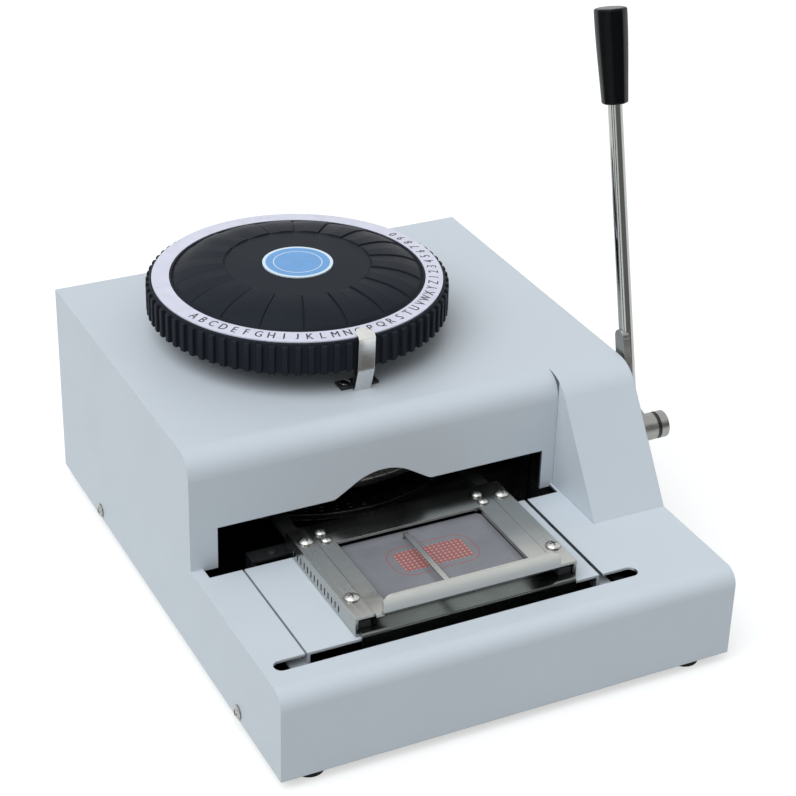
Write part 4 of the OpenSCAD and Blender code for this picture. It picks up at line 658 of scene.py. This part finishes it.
dialShape = {
    # millimetres; rows give radius and height, the rim's rows also the share of a rib's height that they carry
    "ribs": 76, "sectors": 18, "columns": 684, "sectorTurn": 9.4,
    "ribRise": 2.0,                 # height of a grip rib over the rim
    "ribPart": [0.0, 0.13, 0.255, 0.285, 0.33, 0.5, 0.67, 0.715, 0.745],      # place in the rib's pitch
    "ribHeight": [0.0, 0.0, 0.0, 0.86, 1.0, 1.0, 1.0, 0.86, 0.0],
    "stepRise": 0.75,               # height of a sector over the one before it
    "groove": -0.45,                # depth of the dark line at its foot
    "sectorKnots": [0.0, 0.008, 0.02, 0.032, 0.5, 0.515, 0.962, 0.972, 1.0],  # place in the sector's pitch
    "sectorShares": [None, None, 0.86, 1.0, 1.0, 0.93, 0.22, None, None],     # share of the step, None is the groove
    "blendFrom": 71.5, "blendOver": 9.5, "blendTo": 81.3,     # radii where rib columns turn into sector columns
    "under": [(8.05, 129.8), (16.0, 129.8), (16.0, 159.6), (39.2, 159.6), (55.0, 157.2), (69.4, 153.1),
              (79.5, 152.5), (79.5, 137.8)],
    "rim": [(82.5, 137.8, 0.0), (82.5, 137.8, 0.93), (82.5, 138.1, 1.0), (82.5, 146.0, 1.0), (82.5, 153.5, 1.0),
            (82.5, 154.05, 0.88), (82.5, 154.3, 0.5), (82.5, 154.35, 0.0), (82.5, 154.9, 0.0), (82.3, 155.3, 0.0),
            (81.9, 155.5, 0.0), (81.45, 155.5, 0.0), (81.4, 155.3, 0.0), (71.2, 155.9, 0.0), (71.2, 156.55, 0.0),
            (71.05, 156.75, 0.0), (70.3, 156.75, 0.0), (70.1, 156.5, 0.0)],
    "dome": [(69.7, 155.9), (67.96, 157.1), (62.05, 159.9), (55.9, 161.6), (49.8, 162.5), (44.5, 162.9),
             (41.0, 163.0), (20.0, 163.4)],
    "domeRows": [69.7, 69.3, 68.7, 68.1, 67.4, 66.4, 65.0, 63.0, 61.0, 59.0, 57.0, 55.0, 53.0, 51.0, 49.0, 47.2,
                 45.4, 43.8, 42.5, 41.6, 41.35, 41.15, 40.9, 40.75, 40.5, 40.0, 39.2, 37.0, 32.0, 26.0, 21.0,
                 20.3, 20.05],
    "disc": 40.9, "discGroove": (0.25, 0.22),                 # flat middle: radius, its groove's depth and width
    "stepClear": 0.3, "stepEnd": 69.2, "stepFade": 1.6,       # where the steps start and how they fade outwards
    "bore": (20.1, 163.3),                                    # within this radius the dome ends at this height
    "inner": [(20.0, 163.2), (20.0, 162.6), (10.2, 162.6), (10.2, 156.6), (8.05, 156.6)],
}


def smoothStep(value):
    value = np.clip(value, 0.0, 1.0)
    return value * value * (3.0 - 2.0 * value)


def buildDialShell(s):
    # a profile turned round the spindle. On the rim's rows the radius grows by the rib's height where a rib stands.
    # On the dome's rows the height gets a sawtooth of the angle: a groove, a step up, a flat half, a falling half.
    columns = s["columns"]
    place = np.arange(columns)
    sectorPart = np.concatenate([[0.0, 0.008, 0.02, 0.032], np.linspace(0.05, 0.46, 14), [0.485, 0.5, 0.515],
                                 np.linspace(0.54, 0.94, 13), [0.962, 0.972, 0.982, 0.991]])
    rises = [s["groove"] if share is None else share * s["stepRise"] for share in s["sectorShares"]]
    steps = np.tile(np.interp(sectorPart, s["sectorKnots"], rises), s["sectors"])
    ribs = np.tile(s["ribHeight"], s["ribs"])
    ribTurns = (place // (columns // s["ribs"]) + np.tile(s["ribPart"], s["ribs"]) - 0.5) / s["ribs"]
    sectorTurns = (place // (columns // s["sectors"]) + np.tile(sectorPart, s["sectors"])) / s["sectors"]
    ribAngles = ribTurns * 2 * np.pi
    sectorAngles = sectorTurns * 2 * np.pi + math.radians(s["sectorTurn"])
    domeR = np.array(s["domeRows"])
    profile = np.array(s["dome"])[::-1]
    depth, width = s["discGroove"]
    boreR, boreZ = s["bore"]
    domeZ = np.interp(domeR, profile[:, 0], profile[:, 1]) - depth * np.exp(-((domeR - s["disc"]) / width) ** 2)
    domeZ = np.where(domeR < boreR, boreZ, domeZ)
    fade = smoothStep((s["stepEnd"] - domeR) / s["stepFade"])
    weight = np.where(domeR > s["disc"] + s["stepClear"], fade, 0.0)
    rows = []

    def addRow(radius, height, angle):
        rows.append([np.broadcast_to(part, columns) for part in (radius, height, angle)])

    for r, z in s["under"]:
        addRow(r, z, ribAngles)
    for r, z, share in s["rim"]:
        blend = np.clip((r - s["blendFrom"]) / s["blendOver"], 0.0, 1.0) if r < s["blendTo"] else 1.0
        addRow(r + s["ribRise"] * share * ribs, z, blend * ribAngles + (1 - blend) * sectorAngles)
    for r, z, share in zip(domeR, domeZ, weight):
        addRow(r, z + share * steps, sectorAngles)
    for r, z in s["inner"]:
        addRow(r, z, sectorAngles)
    radii, heights, angles = np.array(rows).transpose(1, 0, 2)
    points = np.stack([dialAxis[0] + radii * np.cos(angles), dialAxis[1] + radii * np.sin(angles), heights], axis=-1)
    made = gridMesh("dialShell", points * mm, True, True, dialPlastic)
    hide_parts("dial")
    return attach(made, "dial")


letterSettings = {
    "marks": "ABCDEFGHIJKLMNOPQRSTUVWXYZ1234567890", "count": 70,   # marks, and places round the ring
    "first": 199.6,                  # degrees of the first mark, from the part's right towards its rear
    "feet": 78.7, "tall": 5.6, "wide": 6.3, "curve": 3,       # radius of the feet, height, width scale, curve steps
    "strikes": [(-0.11, 0.025), (0.0, 0.03), (0.11, 0.035)],  # shift along the ring and height over it
    "ringOuter": (81.2, 156.3), "ringInner": (71.4, 156.9),   # radius and height of the ring's edges
}


def markMesh(mark, resolution):
    # the points and faces of one plain character, from a text object that is removed again
    curve = bpy.data.curves.new("mark", "FONT")
    curve.body = mark
    curve.resolution_u = resolution
    holder = linkObject("mark", curve)
    bpy.context.view_layer.update()
    mesh = bpy.data.meshes.new_from_object(holder.evaluated_get(bpy.context.evaluated_depsgraph_get()))
    flat = np.zeros(len(mesh.vertices) * 3)
    mesh.vertices.foreach_get("co", flat)
    faces = [list(f.vertices) for f in mesh.polygons]
    bpy.data.objects.remove(holder)
    bpy.data.curves.remove(curve)
    bpy.data.meshes.remove(mesh)
    return flat.reshape(-1, 3), faces


def buildLetters(s):
    # each mark is a flat mesh laid on the ring's cone: its x runs round the ring, its y towards the axis.
    # it is laid three times, a little apart, which makes its lines heavier
    points, faces, base = [], [], 0
    (outerR, outerZ), (innerR, innerZ) = s["ringOuter"], s["ringInner"]
    slope = (innerZ - outerZ) / (outerR - innerR)
    for i, mark in enumerate(s["marks"]):
        flat, own = markMesh(mark, s["curve"])
        low, high = flat.min(0), flat.max(0)
        centred = (flat[:, 0] - (low[0] + high[0]) / 2) * s["wide"]
        radius = s["feet"] - (flat[:, 1] - low[1]) / (high[1] - low[1]) * s["tall"]
        for shift, lift in s["strikes"]:
            angle = math.radians(s["first"] + i * 360.0 / s["count"]) + (centred + shift) / radius
            height = outerZ + (outerR - radius) * slope + lift
            points.append(np.stack([dialAxis[0] + radius * np.cos(angle), dialAxis[1] + radius * np.sin(angle),
                                    height], axis=-1))
            faces += [[v + base for v in f] for f in own]
            base += len(flat)
    mesh = bpy.data.meshes.new("ringLetters")
    mesh.from_pydata((np.vstack(points) * mm).tolist(), [], faces)
    made = linkObject("ringLetters", mesh)
    mesh.materials.append(ink)
    mesh.update()
    normals = np.zeros(len(mesh.polygons) * 3)
    mesh.polygons.foreach_get("normal", normals)
    if normals.reshape(-1, 3)[:, 2].mean() < 0:
        mesh.flip_normals()
    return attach(made, "dial")


gripShape = {
    "foot": (129.3, -2.9, 258.8),    # lower end of the grip on the rod's axis, millimetres
    "lean": 13.5, "sides": 8, "columns": 96, "sharp": 50.0, "weld": 1e-6,
    "turn": 12.0, "facet": 0.72,     # turn of the octagon in degrees, its share in the blend with the circle
    "profile": [(0.0, 0.0), (0.0, 4.2), (0.0, 6.4), (0.12, 6.8), (0.4, 7.1), (0.9, 7.25), (2.0, 7.32), (4.5, 7.42),
                (8.0, 7.58), (14.0, 7.85), (20.0, 8.15), (26.0, 8.42), (32.0, 8.66), (38.0, 8.84), (44.0, 8.95),
                (47.5, 8.97), (49.6, 8.95), (50.3, 8.82), (50.75, 8.5), (50.95, 8.0), (51.0, 6.5), (51.0, 3.0),
                (51.0, 0.0)],        # place along the axis and radius
}


def buildGrip(s):
    # cross-section: a blend of a circle and an octagon with the same corner radius, carried along the rod's axis
    turn = np.arange(s["columns"]) / s["columns"] * 2 * np.pi
    half = np.pi / s["sides"]
    octagon = math.cos(half) / np.cos((turn - math.radians(s["turn"])) % (2 * half) - half)
    section = (1 - s["facet"]) + s["facet"] * octagon
    section = section / section.max()
    along, radius = np.array(s["profile"]).T
    radii = radius[:, None] * section[None, :]
    lean = math.radians(s["lean"])
    axis = np.array([0.0, math.sin(lean), math.cos(lean)])
    sideA, sideB = np.array([1.0, 0.0, 0.0]), np.array([0.0, math.cos(lean), -math.sin(lean)])
    points = (np.array(s["foot"])[None, None, :] + along[:, None, None] * axis
              + radii[..., None] * (np.cos(turn)[None, :, None] * sideA + np.sin(turn)[None, :, None] * sideB))
    made = gridMesh("gripBody", points * mm, False, True, gripPlastic, sharp=s["sharp"], weld=s["weld"])
    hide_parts("lever_grip")
    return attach(made, "lever")


buildDialShell(dialShape)
buildLetters(letterSettings)
buildGrip(gripShape)
print("new pieces built")

# Studio

studio = {
    "fill": 0.50,                    # light that comes evenly from everywhere
    "sunTo": (-0.50, -0.18, 0.85), "sunEnergy": 2.10, "sunSize": 62.0, "sunColour": (0.97, 1.0, 1.05),
    "floorColour": (0.52, 0.535, 0.525), "floorSize": 3.0, "floorGlow": 0.56, "floorRoughness": 0.9,
    "fibreScale": 900.0, "fibre": 0.005,
    "flags": [                       # dark cards that only reflections see: middle, width, height, grey
        ((-0.55, -0.05), 0.14, 0.9, 0.02), ((-0.42, -0.38), 0.13, 0.9, 0.02), ((0.24, -0.80), 1.30, 0.7, 0.20)],
    "flagFoot": 0.001,
}
white = (1.0, 1.0, 1.0, 1.0)


def seenDirectly(tree):
    # 1 for the rays that see the white surroundings: camera, glossy and transmission rays
    path = addNode(tree, "ShaderNodeLightPath").outputs
    seen = calc(tree, "MAXIMUM", path["Is Camera Ray"], path["Is Glossy Ray"])
    return calc(tree, "MAXIMUM", seen, path["Is Transmission Ray"])


def buildWorld(s):
    world = bpy.data.worlds.new("studio")
    bpy.context.scene.world = world
    world.use_nodes = True
    tree = world.node_tree
    background = tree.nodes["Background"]
    background.inputs["Color"].default_value = white
    tree.links.new(remap(tree, seenDirectly(tree), 0.0, 1.0, s["fill"], 1.0), background.inputs["Strength"])


def buildSun(s):
    sun = bpy.data.lights.new("softSun", "SUN")
    sun.energy = s["sunEnergy"]
    sun.color = s["sunColour"]
    sun.angle = math.radians(s["sunSize"])
    lamp = linkObject("softSun", sun)
    lamp.rotation_euler = Vector(s["sunTo"]).to_track_quat("Z", "Y").to_euler()


def flatPiece(name, corners, material):
    mesh = bpy.data.meshes.new(name)
    mesh.from_pydata(corners, [], [(0, 1, 2, 3)])
    made = linkObject(name, mesh)
    mesh.materials.append(material)
    return made


def buildFloor(s):
    material, tree, shader, place = startMaterial("floorPaper", Roughness=s["floorRoughness"],
                                                  Specular_IOR_Level=0.0)
    fibre = noise(tree, place, s["fibreScale"], 2.0)
    paper = mixColour(tree, fibre, scaled(s["floorColour"], 1 - s["fibre"]), scaled(s["floorColour"], 1 + s["fibre"]))
    tree.links.new(paper, shader.inputs["Base Color"])
    shader.inputs["Emission Color"].default_value = white
    glow = calc(tree, "MULTIPLY", seenDirectly(tree), s["floorGlow"])
    tree.links.new(glow, shader.inputs["Emission Strength"])
    half = s["floorSize"]
    flatPiece("floor", [(-half, -half, 0), (half, -half, 0), (half, half, 0), (-half, half, 0)], material)


def buildFlags(s):
    # each card stands upright and faces the part's middle
    for i, (middle, width, height, grey) in enumerate(s["flags"]):
        material = bpy.data.materials.new(f"flagGrey{i}")
        material.use_nodes = True
        tree = material.node_tree
        tree.nodes.remove(tree.nodes["Principled BSDF"])
        glow = addNode(tree, "ShaderNodeEmission", {"Color": (grey, grey, grey, 1.0), "Strength": 1.0})
        tree.links.new(glow.outputs[0], tree.nodes["Material Output"].inputs["Surface"])
        out = np.array(middle) / np.linalg.norm(middle)
        side = np.array([-out[1], out[0]]) * width / 2
        a, b = np.array(middle) - side, np.array(middle) + side
        foot = s["flagFoot"]
        flag = flatPiece(f"flag{i}", [(*a, foot), (*b, foot), (*b, height), (*a, height)], material)
        flag.visible_camera = flag.visible_diffuse = flag.visible_shadow = flag.visible_transmission = False


addCamera(cameraSettings)
bpy.context.scene.view_settings.view_transform = "Standard"
buildWorld(studio)
buildSun(studio)
buildFloor(studio)
buildFlags(studio)
print("studio set")
